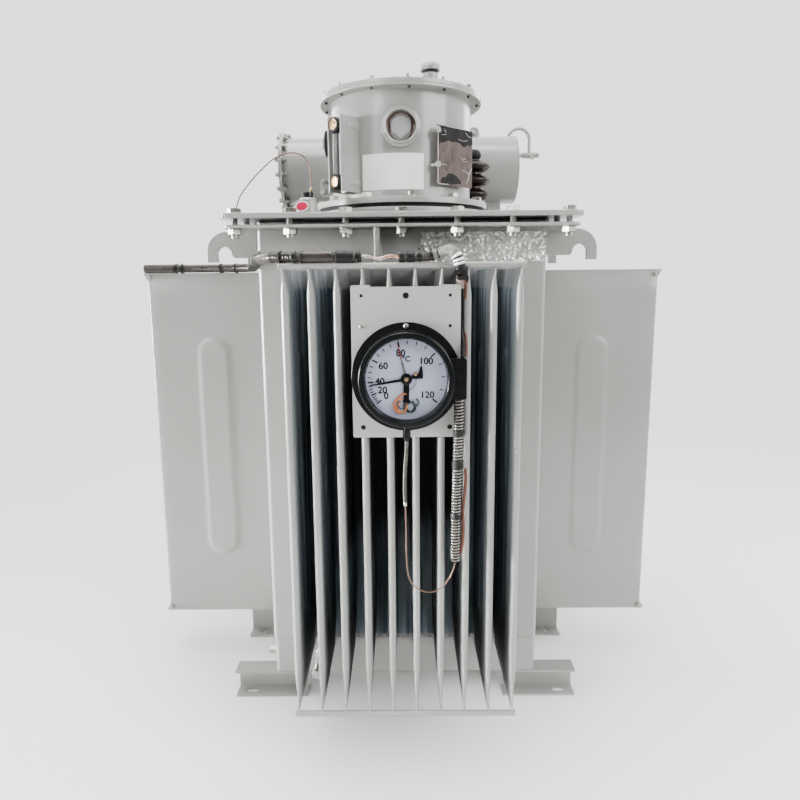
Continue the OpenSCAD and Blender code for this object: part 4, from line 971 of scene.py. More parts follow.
glandOut = levelOut * (turretRadius + levelGauge["glandOut"]) * mm
addPiece("levelGlands", joined([moved(turned(glandRing, 40), at(axis + glandOut, levelOut)) for axis in fittingAxes]),
         nitrileRubber)

reliefLow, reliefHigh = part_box("relief_valve")
reliefMiddle = middleOf(reliefLow, reliefHigh)
reliefFoot = (reliefMiddle.x, reliefMiddle.y, reliefLow.z)


def reliefProfiles(wide, tall):
    # The valve's body and cap, and the seal in the groove between them
    cap = roundCorners([(0, 0, 0), (wide, 0, 0.8), (wide, 6, 1), (wide - 4, 7, 1), (wide - 4, 33, 1),
                        (wide - 8, 34, 0.5), (wide - 8, 38, 0.5), (wide - 1, 39, 1), (wide - 0.6, 45, 2),
                        (wide - 3, tall - 2, 2), (wide - 6, tall, 1), (0, tall, 0)], 4)
    seal = [(wide - 8.5, 33.6), (wide - 4.4, 33.6), (wide - 4.4, 38.6), (wide - 8.5, 38.6), (wide - 8.5, 33.6)]
    return cap, seal


reliefCap, reliefSeal = reliefProfiles((reliefHigh.x - reliefLow.x) / 2 / mm, (reliefHigh.z - reliefLow.z) / mm)
addPiece("reliefCap", moved(turned(reliefCap, 64), at(reliefFoot)), greyEnamel, ["relief_valve"])
addPiece("reliefSeal", moved(turned(reliefSeal, 64), at(reliefFoot)), nitrileRubber)
levelBody = roundCorners([(0, 0, 0), (20.4, 0, 0), (20.4, 31, 2.5), (13, 32, 1), (13, 33, 0), (0, 33, 0)], 4)
bodyOut = levelOut * (turretRadius - 1) * mm
addPiece("levelBodies", joined([moved(turned(levelBody, 48), at(axis + bodyOut, levelOut)) for axis in fittingAxes]),
         greyEnamel)
troughTurns = [levelTurn + math.radians(90 + a) for a in range(-105, 106, 15)]
inner, outer = levelGauge["backing"]
trough = [(r * math.cos(a), r * math.sin(a)) for r, turns in ((inner, troughTurns), (outer, troughTurns[::-1]))
          for a in turns]
addPiece("levelBacking", moved(cutOut(trough, tubeTall), at(tubeFoot)), whiteVinyl, weighted=False)

sidePort = {"lipIn": 15, "hubIn": 10.2}  # from the port's end
portLow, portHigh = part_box("side_port")
portMiddle = middleOf(portLow, portHigh)
lip = roundCorners([(20, 0, 0), (28.5, 0, 1), (28.5, 9, 3), (22, 11, 2), (20, 9, 0)], 3)
hub = roundCorners([(0, -1, 0), (16.4, -1, 0), (16.2, 1, 0.5), (12.4, 9.6, 1.5), (4, 10.2, 1), (0, 10.2, 0)], 3)
for name, profile, steps, inset, material, slot in (
        ("portLip", lip, 56, sidePort["lipIn"], nitrileRubber, "black_rubber"),
        ("portHub", hub, 40, sidePort["hubIn"], greyEnamel, "grey_paint")):
    place = (portLow.x + inset * mm, portMiddle.y, portMiddle.z)
    addPiece(name, moved(turned(profile, steps), at(place, (-1, 0, 0))), material)

bushLow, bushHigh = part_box("bushing_porcelain")
bushMiddle = middleOf(bushLow, bushHigh)
bushing = {"trunk": 20, "base": 14, "pitch": 34, "sheds": 4, "topShed": 15}


def bushingProfile(look, lip, tall):
    # Trunk with claw sheds: thick at the trunk and drawn out to a rounded lip
    trunk = look["trunk"]
    outline = [(0, 0, 0), (trunk + 14, 0, 0), (trunk + 14, look["base"], 2), (trunk, look["base"], 2)]
    for k in range(look["sheds"] - 1, -1, -1):
        z = tall - look["topShed"] - k * look["pitch"]
        outline += [(trunk, z - 13, 2), (trunk + 6, z - 13, 3), (lip - 8, z - 9, 6), (lip, z - 1, 2.2),
                    (lip - 1, z + 2.5, 2), (lip - 10, z + 9, 6), (trunk, z + 14, 3)]
    return roundCorners(outline + [(trunk, tall, 0), (0, tall, 0)], 4)


sheds = bushingProfile(bushing, (bushHigh.x - bushLow.x) / 2 / mm, (bushHigh.z - bushLow.z) / mm)
addPiece("bushingSheds", moved(turned(sheds, 72), at((bushMiddle.x, bushMiddle.y, bushLow.z))), brownGlaze,
         ["bushing_porcelain"], weighted=False)

padBolts = {"flats": 11, "head": 5, "washer": 6.5, "thread": 3, "in": 10, "apart": 22}
padLow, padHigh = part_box("earth_pad")
padPlan = [(padLow.x + padBolts["in"] * mm, middleOf(padLow, padHigh).z + s * padBolts["apart"] / 2 * mm)
           for s in (-1, 1)]
ends = []
for y, out in ((padLow.y, -1), (padHigh.y, 1)):
    ends += boltSet(padBolts["flats"], padBolts["head"], padBolts["washer"], padBolts["thread"],
                    [(x, y, z) for x, z in padPlan], (0, out, 0))
addPiece("earthPadBolts", joined(ends), brightZinc)

bareLabel = {"turn": (-30.5, 17.2), "height": (1120, 1191), "lift": 0.4, "thick": 0.3}


def wrapSheet(look, radius, across=28, up=8):
    # A thin sheet round the turret, between two turns in degrees and two heights
    points, faces = [], []
    low, high = look["height"]
    for layer in (look["lift"], look["lift"] + look["thick"]):
        for j in range(up + 1):
            for i in range(across + 1):
                turn = math.radians(look["turn"][0] + (look["turn"][1] - look["turn"][0]) * i / across)
                r = (radius + layer) * mm
                points.append(Vector((turretAxis.x + r * math.sin(turn), turretAxis.y - r * math.cos(turn),
                                      (low + (high - low) * j / up) * mm)))
    row, layerSize = across + 1, (across + 1) * (up + 1)
    for j in range(up):
        for i in range(across):
            a = j * row + i
            b = a + layerSize
            faces += [[a, a + row, a + row + 1, a + 1], [b, b + 1, b + row + 1, b + row]]
    rim = list(range(row)) + [j * row + across for j in range(1, up + 1)]
    rim += [up * row + i for i in range(across - 1, -1, -1)] + [j * row for j in range(up - 1, 0, -1)]
    faces += [[a, b, layerSize + b, layerSize + a] for a, b in zip(rim, rim[1:] + rim[:1])]
    return points, faces


addPiece("bareLabel", wrapSheet(bareLabel, turretRadius), whiteVinyl, weighted=False)


def creasedSheet(columns, rows, placeAt, depthAt):
    # A thin sheet: placeAt lays out its grid of shares in X and Y, depthAt gives the height at each place
    points = []
    for j in range(rows + 1):
        for i in range(columns + 1):
            x, y = placeAt(i / columns, j / rows)
            points.append(Vector((x, y, depthAt(x, y))) * mm)
    row = columns + 1
    faces = [[j * row + i, j * row + i + 1, (j + 1) * row + i + 1, (j + 1) * row + i]
             for j in range(rows) for i in range(columns)]
    return points, faces


plateSize = {"wide": 104, "high": 116, "out": 12, "turn": 42, "pegs": (38, 104)}
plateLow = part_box("blank_plate")[0]
plateSpin = Matrix.Translation(turretAxis) @ Matrix.Rotation(math.radians(plateSize["turn"]), 4, "Z")
plateFace = plateSpin @ facing((0, -(turretRadius + plateSize["out"]) * mm, plateLow.z))


def onPlate(u, v):
    # By shares of the plate's width and of its height from the top
    return (u - 0.5) * (plateSize["wide"] - 1), (1 - v) * plateSize["high"]


def plateCrease(x, y):
    folds = noise.noise(Vector((x / 40, y / 9, 3.1))) * 0.5 + noise.noise(Vector((x / 17, y / 30, 8.4))) * 0.35
    sharp = abs(noise.noise(Vector((x / 26 + y / 60, y / 14, 1.7))))
    return 0.9 + 0.6 * folds - 0.7 * max(0.0, 0.25 - sharp)


plateSheet = creasedSheet(70, 78, lambda u, v: onPlate(u, 1 - v), plateCrease)
addPiece("plateFilm", moved(plateSheet, plateFace), mirrorPlate, smooth=60, weighted=False)

# Two pegs at the plate's left edge
peg = joined([disc(3.2, 14, 0.8), moved(hexHead(11, 5), at((0, 0, 14 * mm)))])
pegEdge = Vector((-plateSize["wide"] / 2 - 1, 1 - turretRadius, 0)) * mm
pegs = [moved(peg, plateSpin @ at(pegEdge + Vector((0, 0, plateLow.z + z * mm)), (0, -1, 0)))
        for z in plateSize["pegs"]]
addPiece("platePegs", joined(pegs), greyEnamel)

# Painted reflections: dark patches in the plate's film where it mirrors dark surroundings, by the same shares
plateDarkReflections = {
    "plateShadeTop": {"upper": [(0, 0.015), (1, 0.015)],
                      "lower": [(0, 0.33), (0.1, 0.30), (0.2, 0.28), (0.3, 0.24), (0.4, 0.255), (0.5, 0.24),
                                (0.62, 0.25), (0.75, 0.31), (0.85, 0.26), (0.93, 0.27), (1, 0.23)], "lift": 0.2},
    "plateShadeLow": {"upper": [(0.09, 0.93), (0.12, 0.88), (0.24, 0.86), (0.28, 0.80), (0.42, 0.79), (0.55, 0.83),
                                (0.66, 0.90)],
                      "lower": [(0.09, 0.985), (0.4, 0.98), (0.66, 0.95)], "lift": 0.2},
}
plateFoldHighlights = [  # painted highlights: white lines along the film's folds and edges; thickness, then the points
    (0.5, ((0.63, 0.50), (0.72, 0.515), (0.80, 0.50))), (0.5, ((0.70, 0.54), (0.78, 0.55), (0.85, 0.545))),
    (0.45, ((0.03, 0.63), (0.12, 0.655), (0.25, 0.66))),
    (0.7, ((0.70, 0.70), (0.82, 0.73), (0.90, 0.755), (0.98, 0.66))),
    (0.7, ((0.90, 0.755), (0.88, 0.85), (0.83, 0.92))), (0.6, ((0.05, 0.03), (0.07, 0.06), (0.09, 0.10))),
    (0.4, ((0.17, 0.06), (0.20, 0.09), (0.22, 0.12))),
    (0.4, ((0.58, 0.19), (0.72, 0.205), (0.84, 0.18))), (0.5, ((0.80, 0.06), (0.87, 0.10), (0.97, 0.12))),
    (0.3, ((0.10, 0.17), (0.18, 0.155), (0.25, 0.15))), (0.8, ((0.005, 0.02), (0.005, 0.5), (0.005, 0.98))),
    (0.7, ((0.02, 0.99), (0.16, 0.99), (0.30, 0.985))), (0.5, ((0.0, 0.01), (0.5, 0.008), (0.995, 0.01)))]


def lineAt(stops, u):
    for (a, h), (b, k) in zip(stops, stops[1:]):
        if u <= b:
            return h + (k - h) * max(0.0, u - a) / (b - a)
    return stops[-1][1]


for name, look in plateDarkReflections.items():
    first, last = look["upper"][0][0], look["upper"][-1][0]

    def shadeOutline(u, v):
        across = first + (last - first) * u
        low, high = lineAt(look["lower"], across), lineAt(look["upper"], across)
        return onPlate(across, low + (high - low) * v)

    sheet = creasedSheet(60, 26, shadeOutline, lambda x, y: plateCrease(x, y) + look["lift"])
    addPiece(name, moved(sheet, plateFace), paintedDarkReflection, smooth=60, weighted=False)
# Painted highlights: thin white tubes along the folds and edges of the plate's film
folds = []
for thick, stops in plateFoldHighlights:
    route = [Vector((x, y, plateCrease(x, y) + 0.25)) * mm for x, y in (onPlate(u, v) for u, v in stops)]
    folds.append(tube(alongCurve(route, 1.2 * mm)[0], lambda walked: thick * mm * 0.5, 8))
addPiece("plateFoldHighlights", moved(joined(folds), plateFace), whiteVinyl, weighted=False)


# Loose film on the front wall, beside the gusset: crumpled and clear

film = {"left": 40, "right": 291, "low": 972, "high": 1033, "ragged": 9, "crumple": 2.4, "creaseMm": 11}


def filmOutline(u, v):
    ragged = film["ragged"] * noise.noise(Vector((0.7, v * 5, 2.2)))
    left = film["left"] + 12 * (1 - v) ** 2 + ragged
    return left + (film["right"] - left) * u, film["low"] + (film["high"] - film["low"]) * v


def filmDepth(x, y):
    big = noise.noise(Vector((x / film["creaseMm"] / 1.8, y / film["creaseMm"] / 1.8, 5.0)))
    ridge = abs(noise.noise(Vector((x / film["creaseMm"], y / film["creaseMm"], 0.3))))
    fine = abs(noise.noise(Vector((x / 7, y / 7, 9.3))))
    return 0.6 + film["crumple"] * (1.0 + 0.6 * big - 0.9 * min(1.0, 2 * ridge) - 0.35 * min(1.0, 2 * fine))


filmSheet = creasedSheet(190, 46, filmOutline, filmDepth)
addPiece("wallFilm", moved(filmSheet, facing((0, shellLow.y - 0.2 * mm, 0))), clearFilm, smooth=24,
         weighted=False)
print("turret and drum fittings added")


# Dial thermometer: bezel, glass, printed dial, pointers and the wires inside

dialLow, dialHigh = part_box("gauge_dial")
dialMiddle = middleOf(dialLow, dialHigh)
gaugeCentre = Vector((dialMiddle.x, dialLow.y, dialMiddle.z))
gaugeFace = facing(gaugeCentre)
caseLow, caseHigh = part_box("gauge_case")
bezelFace = facing((gaugeCentre.x, caseLow.y, gaugeCentre.z))
bezelProfile = [(68.5, -3, 0), (80.9, -3, 0), (80.9, 10.9, 2.2), (70.4, 10.9, 1.8), (68.5, 1, 0.5)]
ring = roundCorners(bezelProfile, 4, True)
addPiece("bezelRing", moved(turned(ring + ring[:1], 128), bezelFace), blackPhenolic,
         ["gauge_bezel"])
glassDisc = [(0, -3), (70, -3), (70, 0), (0, 0)]
addPiece("dialGlass", moved(turned(glassDisc, 96), bezelFace), clearGlass,
         ["gauge_glass"])
dialDisc = [(0, -1.2), (74.6, -1.2), (74.6, 0), (0, 0)]
addPiece("dialSheet", moved(turned(dialDisc, 128), gaugeFace), dialEnamel,
         ["gauge_dial"])

dialScale = {"marks": ((0, -130), (20, -115), (40, -95), (60, -60), (80, -12), (100, 48), (120, 128)),
             "edge": 66, "long": (10, 2.8), "short": (6.5, 1.8), "figures": 45, "figureSize": 16, "ink": 0.12,
             "unit": "\u00b0C", "unitUp": 34, "unitSize": 13}


def dialTurn(value):
    # Degrees from the top for a value, on a smooth line through the marks
    marks = dialScale["marks"]
    k = min(int(value // 20), len(marks) - 2)
    t = (value - marks[k][0]) / 20
    around = [(max(j - 1, 0), min(j + 1, len(marks) - 1)) for j in (k, k + 1)]
    slope = [(marks[after][1] - marks[before][1]) / (after - before) for before, after in around]
    a, b = marks[k][1], marks[k + 1][1]
    return (a * (2 * t ** 3 - 3 * t * t + 1) + slope[0] * (t ** 3 - 2 * t * t + t)
            + b * (3 * t * t - 2 * t ** 3) + slope[1] * (t ** 3 - t * t))


def spoke(turn, inner, outer, widthIn, widthOut, low, thick):
    # A flat bar from one radius to another, at degrees clockwise from the top
    bar = [(-widthIn / 2, inner), (widthIn / 2, inner), (widthOut / 2, outer), (-widthOut / 2, outer)]
    shape = cutOut(bar, thick)
    return moved(shape, Matrix.Rotation(-math.radians(turn), 4, "Z") @ Matrix.Translation((0, 0, low * mm)))


def figures(words, place, size):
    curve = bpy.data.curves.new("figures", "FONT")
    curve.body, curve.size = words, size * mm
    curve.align_x = curve.align_y = "CENTER"
    curve.extrude = dialScale["ink"] / 2 * mm
    helper = bpy.data.objects.new("figures", curve)
    bpy.context.collection.objects.link(helper)
    mesh = bpy.data.meshes.new_from_object(helper.evaluated_get(bpy.context.evaluated_depsgraph_get()))
    strikes = []
    for x, y in ((0, 0), (0.5, 0), (-0.5, 0), (0, 0.5), (0, -0.5)):  # close strikes make the figures bold
        lift = Matrix.Translation(((place[0] + x) * mm, (place[1] + y) * mm, dialScale["ink"] * mm))
        strikes.append(([lift @ v.co for v in mesh.vertices], [list(f.vertices) for f in mesh.polygons]))
    shape = joined(strikes)
    bpy.data.objects.remove(helper)
    bpy.data.curves.remove(curve)
    bpy.data.meshes.remove(mesh)
    return shape


dialPrint = []
for value in range(0, 121, 5):
    long, wide = dialScale["short"] if value % 20 else dialScale["long"]
    dialPrint.append(spoke(dialTurn(value), dialScale["edge"] - long, dialScale["edge"], wide, wide, 0.02,
                           dialScale["ink"]))
for value, turn in dialScale["marks"]:
    a = math.radians(turn)
    dialPrint.append(figures(str(value), (dialScale["figures"] * math.sin(a), dialScale["figures"] * math.cos(a)),
                             dialScale["figureSize"]))
dialPrint.append(figures(dialScale["unit"], (0, dialScale["unitUp"]), dialScale["unitSize"]))
addPiece("dialPrint", moved(joined(dialPrint), gaugeFace), blackInk, weighted=False)

# Degrees from the top, inner and outer radius, width there, height over the dial and thickness
pointers = {"main": (-99.5, 6, 62, 5.0, 2.4, 2.2, 0.9), "weight": (180, 4, 37, 10, 9, 0.3, 2.4),
            "weightEnd": (180, 36, 40, 13, 13, 0.3, 3.4), "grey": (-13.5, 6, 36, 4.2, 2.6, 1.2, 0.8),
            "red": (-13.5, 35, 64, 2.2, 0.9, 1.2, 0.8)}
pointerHub = roundCorners([(0, 0, 0), (10, 0, 0), (10, 3.6, 0.8), (7, 4.4, 0.8), (0, 4.4, 0)], 3)
contactArm = [(9, 7.3), (20, 10), (24.5, 22.7), (26.4, 22.7), (28.2, 10.9), (28.2, 0.9), (9, 0.9)]
blackParts = [turned(pointerHub, 48)] + [spoke(*pointers[name]) for name in ("main", "weight", "weightEnd")]
blackParts.append(moved(cutOut(contactArm, 2), Matrix.Translation((0, 0, 0.6 * mm))))
addPiece("pointerBlack", moved(joined(blackParts), gaugeFace), blackPhenolic, ["gauge_pointer"],
         soft=0.0002)
addPiece("pointerGrey", moved(spoke(*pointers["grey"]), gaugeFace), brightZinc)
addPiece("pointerRed", moved(spoke(*pointers["red"]), gaugeFace), redLacquer)
hubCap = roundCorners([(0, 4, 0), (3.6, 4, 0), (3.6, 4.8, 0.5), (0, 5.2, 0)], 3)
armStud = roundCorners([(0, 2, 0), (3.2, 2, 0), (3.2, 3.4, 0.6), (0, 3.8, 0)], 3)
brassParts = [turned(hubCap, 24), moved(turned(armStud, 24), Matrix.Translation(Vector((15.5, 9.2, 0)) * mm))]
addPiece("hubCap", moved(joined(brassParts), gaugeFace), turnedBrass)


def insideWire(centre, radius, start, sweepBy, thick, rise=2.4):
    # A loop of thin wire over the dial, by degrees from the top
    stops = []
    for k in range(13):
        a = math.radians(start + sweepBy * k / 12)
        stops.append(Vector((centre[0] + radius * math.sin(a), centre[1] + radius * math.cos(a) * 1.15,
                             1.4 + rise * math.sin(math.pi * k / 12))) * mm)
    line, _ = alongCurve(stops, 1.2 * mm)
    return moved(tube(line, lambda walked: thick * mm, 10), gaugeFace)


# Centre, radius, start and sweep in degrees, thickness and rise of each loop
insideWires = {
    "orangeWires": (orangePvc, "copper", (((-10.4, -45), 11, 20, -300, 1.6), ((-8, -48), 8, -10, -280, 1.4, 1.8),
                                          ((-4, -40), 13, -80, 100, 1.2, 2.8))),
    "greenWires": (greenPvc, "black_plastic", (((8, -48), 7.4, -60, 320, 1.5), ((4.5, -46), 9, 60, 240, 1.3, 1.6),
                                               ((-9, -43), 6, 60, 260, 1.2, 2.2),
                                               ((16, -40), 5, 0, 300, 1.2, 1.2))),
    "hairSpring": (brightZinc, "zinc_steel", (((0, 0), 17, 75, 95, 0.6, 0.4),)),
}
for name, (material, slot, loops) in insideWires.items():
    addPiece(name, joined([insideWire(*loop) for loop in loops]), material, weighted=False)

gaugePlate = {"screw": (18, 70), "rimScrew": 88.5, "holeAcross": 76, "holes": (248, 196, 18), "holeRadius": 3.4,
              "lowHoleGrow": 1.45, "bush": 18}
backLow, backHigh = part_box("gauge_plate")
panHead = roundCorners([(0, 0, 0), (4.6, 0, 0), (4.6, 1.2, 0.5), (3, 2.6, 1), (0, 2.8, 0)], 3)
screwPlaces = [(backLow.x + gaugePlate["screw"][0] * mm, backLow.y, backHigh.z - gaugePlate["screw"][1] * mm),
               (gaugeCentre.x, caseHigh.y - 5 * mm, gaugeCentre.z + gaugePlate["rimScrew"] * mm)]
screws = [moved(turned([(r * 0.95, z * 0.95) for r, z in panHead], 24), facing(place)) for place in screwPlaces]
addPiece("gaugeScrews", joined(screws), brightZinc)
# Black discs set just behind the plate's holes: painted shade, so the holes read dark
holeShades = []
for side in (-1, 1):
    for z in gaugePlate["holes"]:
        radius = gaugePlate["holeRadius"] * (1.0 if z > 100 else gaugePlate["lowHoleGrow"])
        place = (gaugeCentre.x + side * gaugePlate["holeAcross"] * mm, backLow.y, backLow.z + z * mm)
        holeShades.append(moved(turned([(0, -2.4), (radius, -2.4), (radius, -1.4), (0, -1.4)], 20), facing(place)))
addPiece("plateHoleShades", joined(holeShades), nitrileRubber)
plateBush = roundCorners([(0, -2.8, 0), (5.4, -2.8, 0), (5.4, 0.6, 0.5), (3.2, 1.0, 0), (2.6, -1, 0), (0, -1, 0)], 3)
bushPlace = (gaugeCentre.x, backLow.y, backHigh.z - gaugePlate["bush"] * mm)
addPiece("plateBush", moved(turned(plateBush, 24), facing(bushPlace)), nitrileRubber)
print("dial thermometer finished")


# Thermometer pocket: bare tag on a thin wire

tag = {"wide": 26, "high": 20, "rim": 2.0, "thick": 0.8, "place": (-196, -219.5, 1083), "lean": 0.12}


def ovalShape(wide, high, thick, lift):
    turns = [2 * math.pi * k / 48 for k in range(48)]
    edge = [(wide / 2 * math.cos(turn), high / 2 * math.sin(turn)) for turn in turns]
    return moved(cutOut(edge, thick), Matrix.Translation((0, 0, lift * mm)))


tagFace = facing(Vector(tag["place"]) * mm) @ Matrix.Rotation(tag["lean"], 4, "Z")
addPiece("tagRim", moved(ovalShape(tag["wide"], tag["high"], tag["thick"], 0), tagFace), whiteVinyl,
         soft=0.0002)
inner = ovalShape(tag["wide"] - 2 * tag["rim"], tag["high"] - 2 * tag["rim"], 0.3, tag["thick"])
addPiece("tagFace", moved(inner, tagFace), pinkVinyl)
tagWire = [(-205, -219, 1090), (-207, -212, 1094), (-206, -203, 1096), (-198, -214, 1096), (-190, -217.6, 1095),
           (-180, -216, 1096), (-169.5, -199, 1097)]
line, _ = alongCurve([Vector(v) * mm for v in tagWire], 1.5 * mm)
addPiece("tagWire", tube(line, lambda walked: 0.6 * mm, 8), brightZinc, weighted=False)


# Cable ties and tape on the hoses

# Where each tie sits along X, and the hose's radius
ties = {"longHose": ((-84, -107, -170, -182, -207, -255, -264, -373, -410, -500, -514), 9.5),
        "shortHose": ((12, 30, 52), 8.5)}


def tieShape(place, ahead, radius, width, headTurn):
    # A strap round the hose with its small head and a short tail
    strap = roundCorners([(radius - 0.4, -width / 2, 0), (radius + 1.3, -width / 2, 0.4),
                          (radius + 1.3, width / 2, 0.4), (radius - 0.4, width / 2, 0)], 2)
    shapes = [turned(strap + strap[:1], 28)]
    head = roundCorners([(-2.6, -3, 0.8), (2.6, -3, 0.8), (2.6, 3, 0.8), (-2.6, 3, 0.8)], 2, True)
    block = moved(cutOut(head, 4.5), Matrix.Translation((0, 0, -2.2 * mm)))
    spin = Matrix.Rotation(headTurn, 4, "Z")
    shapes.append(moved(block, spin @ Matrix.Translation(((radius + 2.4) * mm, 0, 0))))
    tail = cutOut(((0, -0.6), (7, -0.5), (7, 0.5), (0, 0.6)), 3)
    lean = Matrix.Translation(((radius + 3) * mm, 0, -1.5 * mm)) @ Matrix.Rotation(0.5, 4, "Z")
    shapes.append(moved(tail, spin @ lean))
    return moved(joined(shapes), at(place, ahead))


straps = []
for name, (stops, radius) in ties.items():
    line, _ = alongCurve([Vector(v) * mm for v in cords[name]["route"]], 2 * mm)
    for stop in stops:
        k = min(range(1, len(line) - 1), key=lambda j: abs(line[j].x - stop * mm))
        straps.append(tieShape(line[k], (line[k + 1] - line[k - 1]).normalized(), radius, random.uniform(3.6, 5.2),
                               random.uniform(0.6, 2.4)))
addPiece("cableTies", joined(straps), blackNylon)

sleeves = {  # cord, start and end along its route, radius, wobble, material, slot
    "endSleeve": ("longHose", 0, 69, 10.0, 0.15, brownSleeve, "hose"),
    "bendTape": ("longHose", 300, 345, 10.6, 0.7, blackPvc, "black_plastic"),
    "greySleeve": ("longHose", 480, 588, 10.0, 0.2, brownSleeve, "hose"),
    "brownSleeve": ("longHose", 638, 696, 10.0, 0.2, brownSleeve, "hose"),
    "jointTape": ("longHose", 700, 727, 10.8, 0.8, blackPvc, "black_plastic"),
    "startSleeve": ("shortHose", 0, 13, 9.0, 0.2, brownSleeve, "hose"),
    "startTape": ("shortHose", 13, 28, 9.7, 0.7, blackPvc, "black_plastic"),
    "paleSleeve": ("shortHose", 58, 69, 9.0, 0.1, paleConduit, "hose"),
    "bendSleeve": ("shortHose", 72, 103, 9.6, 0.2, paleConduit, "hose"),
    "endTape": ("shortHose", 102, 135, 9.0, 0.2, blackPvc, "black_plastic"),
    "bandHigh": ("shortHose", 104, 108.5, 9.8, 0.0, whiteVinyl, "white_dial"),
    "bandMiddle": ("shortHose", 110.5, 115, 9.8, 0.0, whiteVinyl, "white_dial"),
    "bandLow": ("shortHose", 117, 121, 9.8, 0.0, whiteVinyl, "white_dial"),
    "knotTape": ("shortHose", 123, 135, 10.6, 0.9, blackPvc, "black_plastic"),
    "dropSleeve": ("boxWires", 4, 34, 8.2, 0.15, dustySleeve, "hose"),
    "hangTapeHigh": ("hangingHose", 56, 66, 10.6, 0.7, blackPvc, "black_plastic"),
    "hangTapeMiddle": ("hangingHose", 112, 126, 10.6, 0.7, blackPvc, "black_plastic"),
    "hangTapeLow": ("hangingHose", 208, 220, 10.6, 0.7, blackPvc, "black_plastic"),
}


def sleeveShape(cord, start, end, radius, wobble):
    line, total = alongCurve([Vector(p) * mm for p in cords[cord]["route"]], 1.2 * mm)
    step = total / (len(line) - 1)
    part = line[round(start * mm / step):round(end * mm / step) + 1]
    long = (len(part) - 1) * step

    def radiusAt(walked):
        edge = min(1.0, min(walked, long - walked) / (1.6 * mm))
        return (radius - 1.4 * (1 - edge) ** 2 + wobble * noise.noise(Vector((walked * 260, start, 0.5)))) * mm
    return tube(part, radiusAt, 20)


for name, (cord, start, end, radius, wobble, material, slot) in sleeves.items():
    addPiece(name, sleeveShape(cord, start, end, radius, wobble), material, smooth=60, weighted=False)

# Loose ends of tape at the knot, and the red brown wires beside the hoses
tapeEnds = [[(-9, 4), (-4, 5), (-8, -8), (-17, -17), (-19, -10)], [(3, 4), (8, 4), (14, -9), (12, -18), (6, -12)]]
knotPlace = (98, -430.5, 950)
addPiece("tapeEnds", moved(joined([cutOut(tail, 0.6) for tail in tapeEnds]), facing(Vector(knotPlace) * mm)), blackPvc)
sideWires = [  # radius, then the route
    (2.6, [(108, -431, 611), (109, -431, 590), (107, -431, 560), (105, -430, 530), (106, -430, 500),
           (104, -430, 470), (101, -430, 452)]),
    (1.8, [(107, -421, 952), (108, -414, 940), (109, -411, 925), (108, -410, 905)]),
    (1.8, [(108, -408, 850), (110, -414, 835), (110, -421, 820), (109, -426, 808)])]
strands = [tube(alongCurve([Vector(v) * mm for v in route], 2.5 * mm)[0], lambda walked, r=radius: r * mm, 12)
           for radius, route in sideWires]
addPiece("sideWires", joined(strands), brownPvc, weighted=False)
print("ties and tag added")


# Studio: a pale floor that melts into a pale backdrop, bright behind and dim before the part, and soft boxes

studio = {"floor": "#f4f4f2", "backdrop": "#ffffff", "behind": 2.2, "before": 0.30, "turn": (-0.45, 0.35),
          "floorRadius": 9.0, "melt": (1.3, 4.0)}
softBoxes = {  # place, size, the point it looks at, spread in degrees and power
    "leftBox": ((-2.4, -3.2, 2.7), (1.2, 2.0), (0, 0, 0.7), 180, 65),
    "leftStrip": ((-3.9, -0.78, 0.6), (1.2, 1.3), (-0.1, -0.55, 0.5), 28, 48),
    "rightBox": ((3.2, -2.3, 2.6), (3.0, 2.6), (0, 0, 0.7), 180, 235),
    "topBox": ((-0.4, -0.3, 3.6), (2.4, 1.8), (0, 0, 0.7), 180, 140),
    "rearLeftBox": ((-2.8, 2.8, 2.6), (1.6, 1.6), (0, 0, 0.7), 180, 60),
    "rearRightBox": ((2.8, 2.8, 2.6), (1.6, 1.6), (0, 0, 0.7), 180, 60),
}


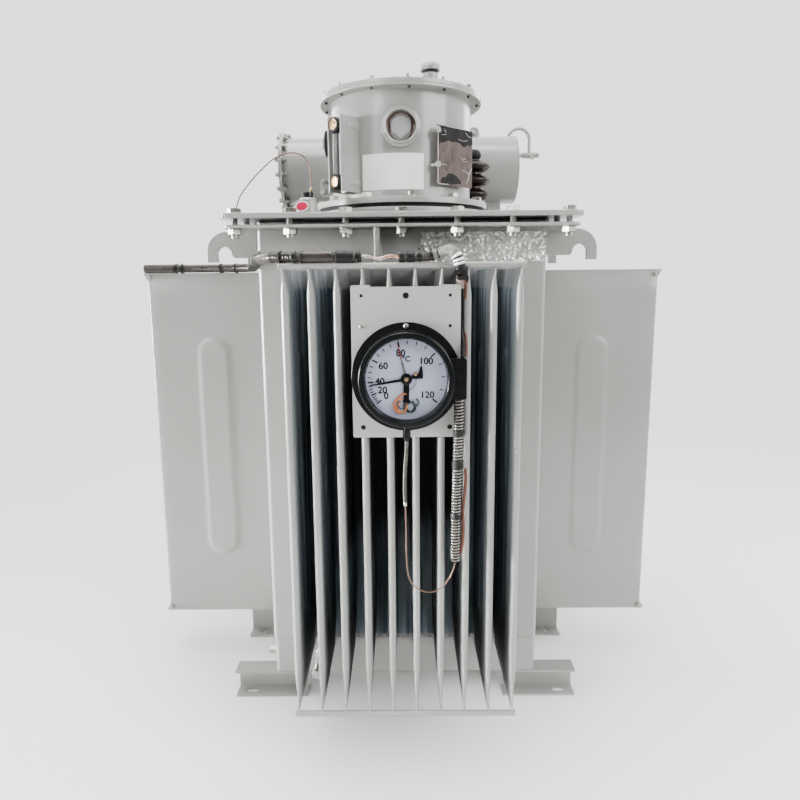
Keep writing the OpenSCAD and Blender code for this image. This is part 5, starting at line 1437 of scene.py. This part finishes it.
def backdropPower(tree, look, direction):
    # Brightness by the way a direction points: +Y is behind the part
    parts = addNode(tree, "ShaderNodeSeparateXYZ", links={"Vector": direction})
    power = addNode(tree, "ShaderNodeMapRange", {
        "interpolation_type": "SMOOTHSTEP", "From Min": look["turn"][0], "From Max": look["turn"][1],
        "To Min": look["before"], "To Max": look["behind"]}, {"Value": parts.outputs["Y"]})
    return power.outputs["Result"]


def addStudio(look):
    world = bpy.data.worlds.new("studio")
    world.use_nodes = True
    tree = world.node_tree
    sky = tree.nodes["Background"]
    sky.inputs["Color"].default_value = toLinear(look["backdrop"])
    around = addNode(tree, "ShaderNodeTexCoord").outputs["Generated"]
    tree.links.new(backdropPower(tree, look, around), sky.inputs["Strength"])
    bpy.context.scene.world = world

    material, tree, shader, place = startMaterial(
        "paleFloor", {"Base Color": toLinear(look["floor"]), "Roughness": 0.8})
    away = addNode(tree, "ShaderNodeVectorMath", {"operation": "LENGTH"}, {0: place})
    melt = addNode(tree, "ShaderNodeMapRange", {"interpolation_type": "SMOOTHSTEP", "From Min": look["melt"][0],
                                                "From Max": look["melt"][1]}, {"Value": away.outputs["Value"]})
    outward = addNode(tree, "ShaderNodeVectorMath", {"operation": "NORMALIZE"}, {0: place})
    glow = addNode(tree, "ShaderNodeEmission", {"Color": toLinear(look["backdrop"])},
                   {"Strength": backdropPower(tree, look, outward.outputs["Vector"])})
    blend = addNode(tree, "ShaderNodeMixShader", links={0: melt.outputs["Result"], 1: shader.outputs["BSDF"],
                                                        2: glow.outputs["Emission"]})
    tree.links.new(blend.outputs["Shader"], tree.nodes["Material Output"].inputs["Surface"])
    mesh = bpy.data.meshes.new("studioFloor")
    points, faces = lathe([(0, 0), (look["floorRadius"], 0)], 96)
    mesh.from_pydata(points, [], faces)
    mesh.materials.append(material)
    floor = bpy.data.objects.new("studioFloor", mesh)
    bpy.context.collection.objects.link(floor)


def addSoftBox(name, place, size, target, spread, power):
    data = bpy.data.lights.new(name, "AREA")
    data.shape = "RECTANGLE"
    data.size, data.size_y = size
    data.energy = power
    data.spread = math.radians(spread)
    light = bpy.data.objects.new(name, data)
    light.location = place
    light.rotation_euler = (Vector(target) - Vector(place)).to_track_quat("-Z", "Y").to_euler()
    bpy.context.collection.objects.link(light)


addStudio(studio)
for name, look in softBoxes.items():
    addSoftBox(name, *look)
print("studio lit")
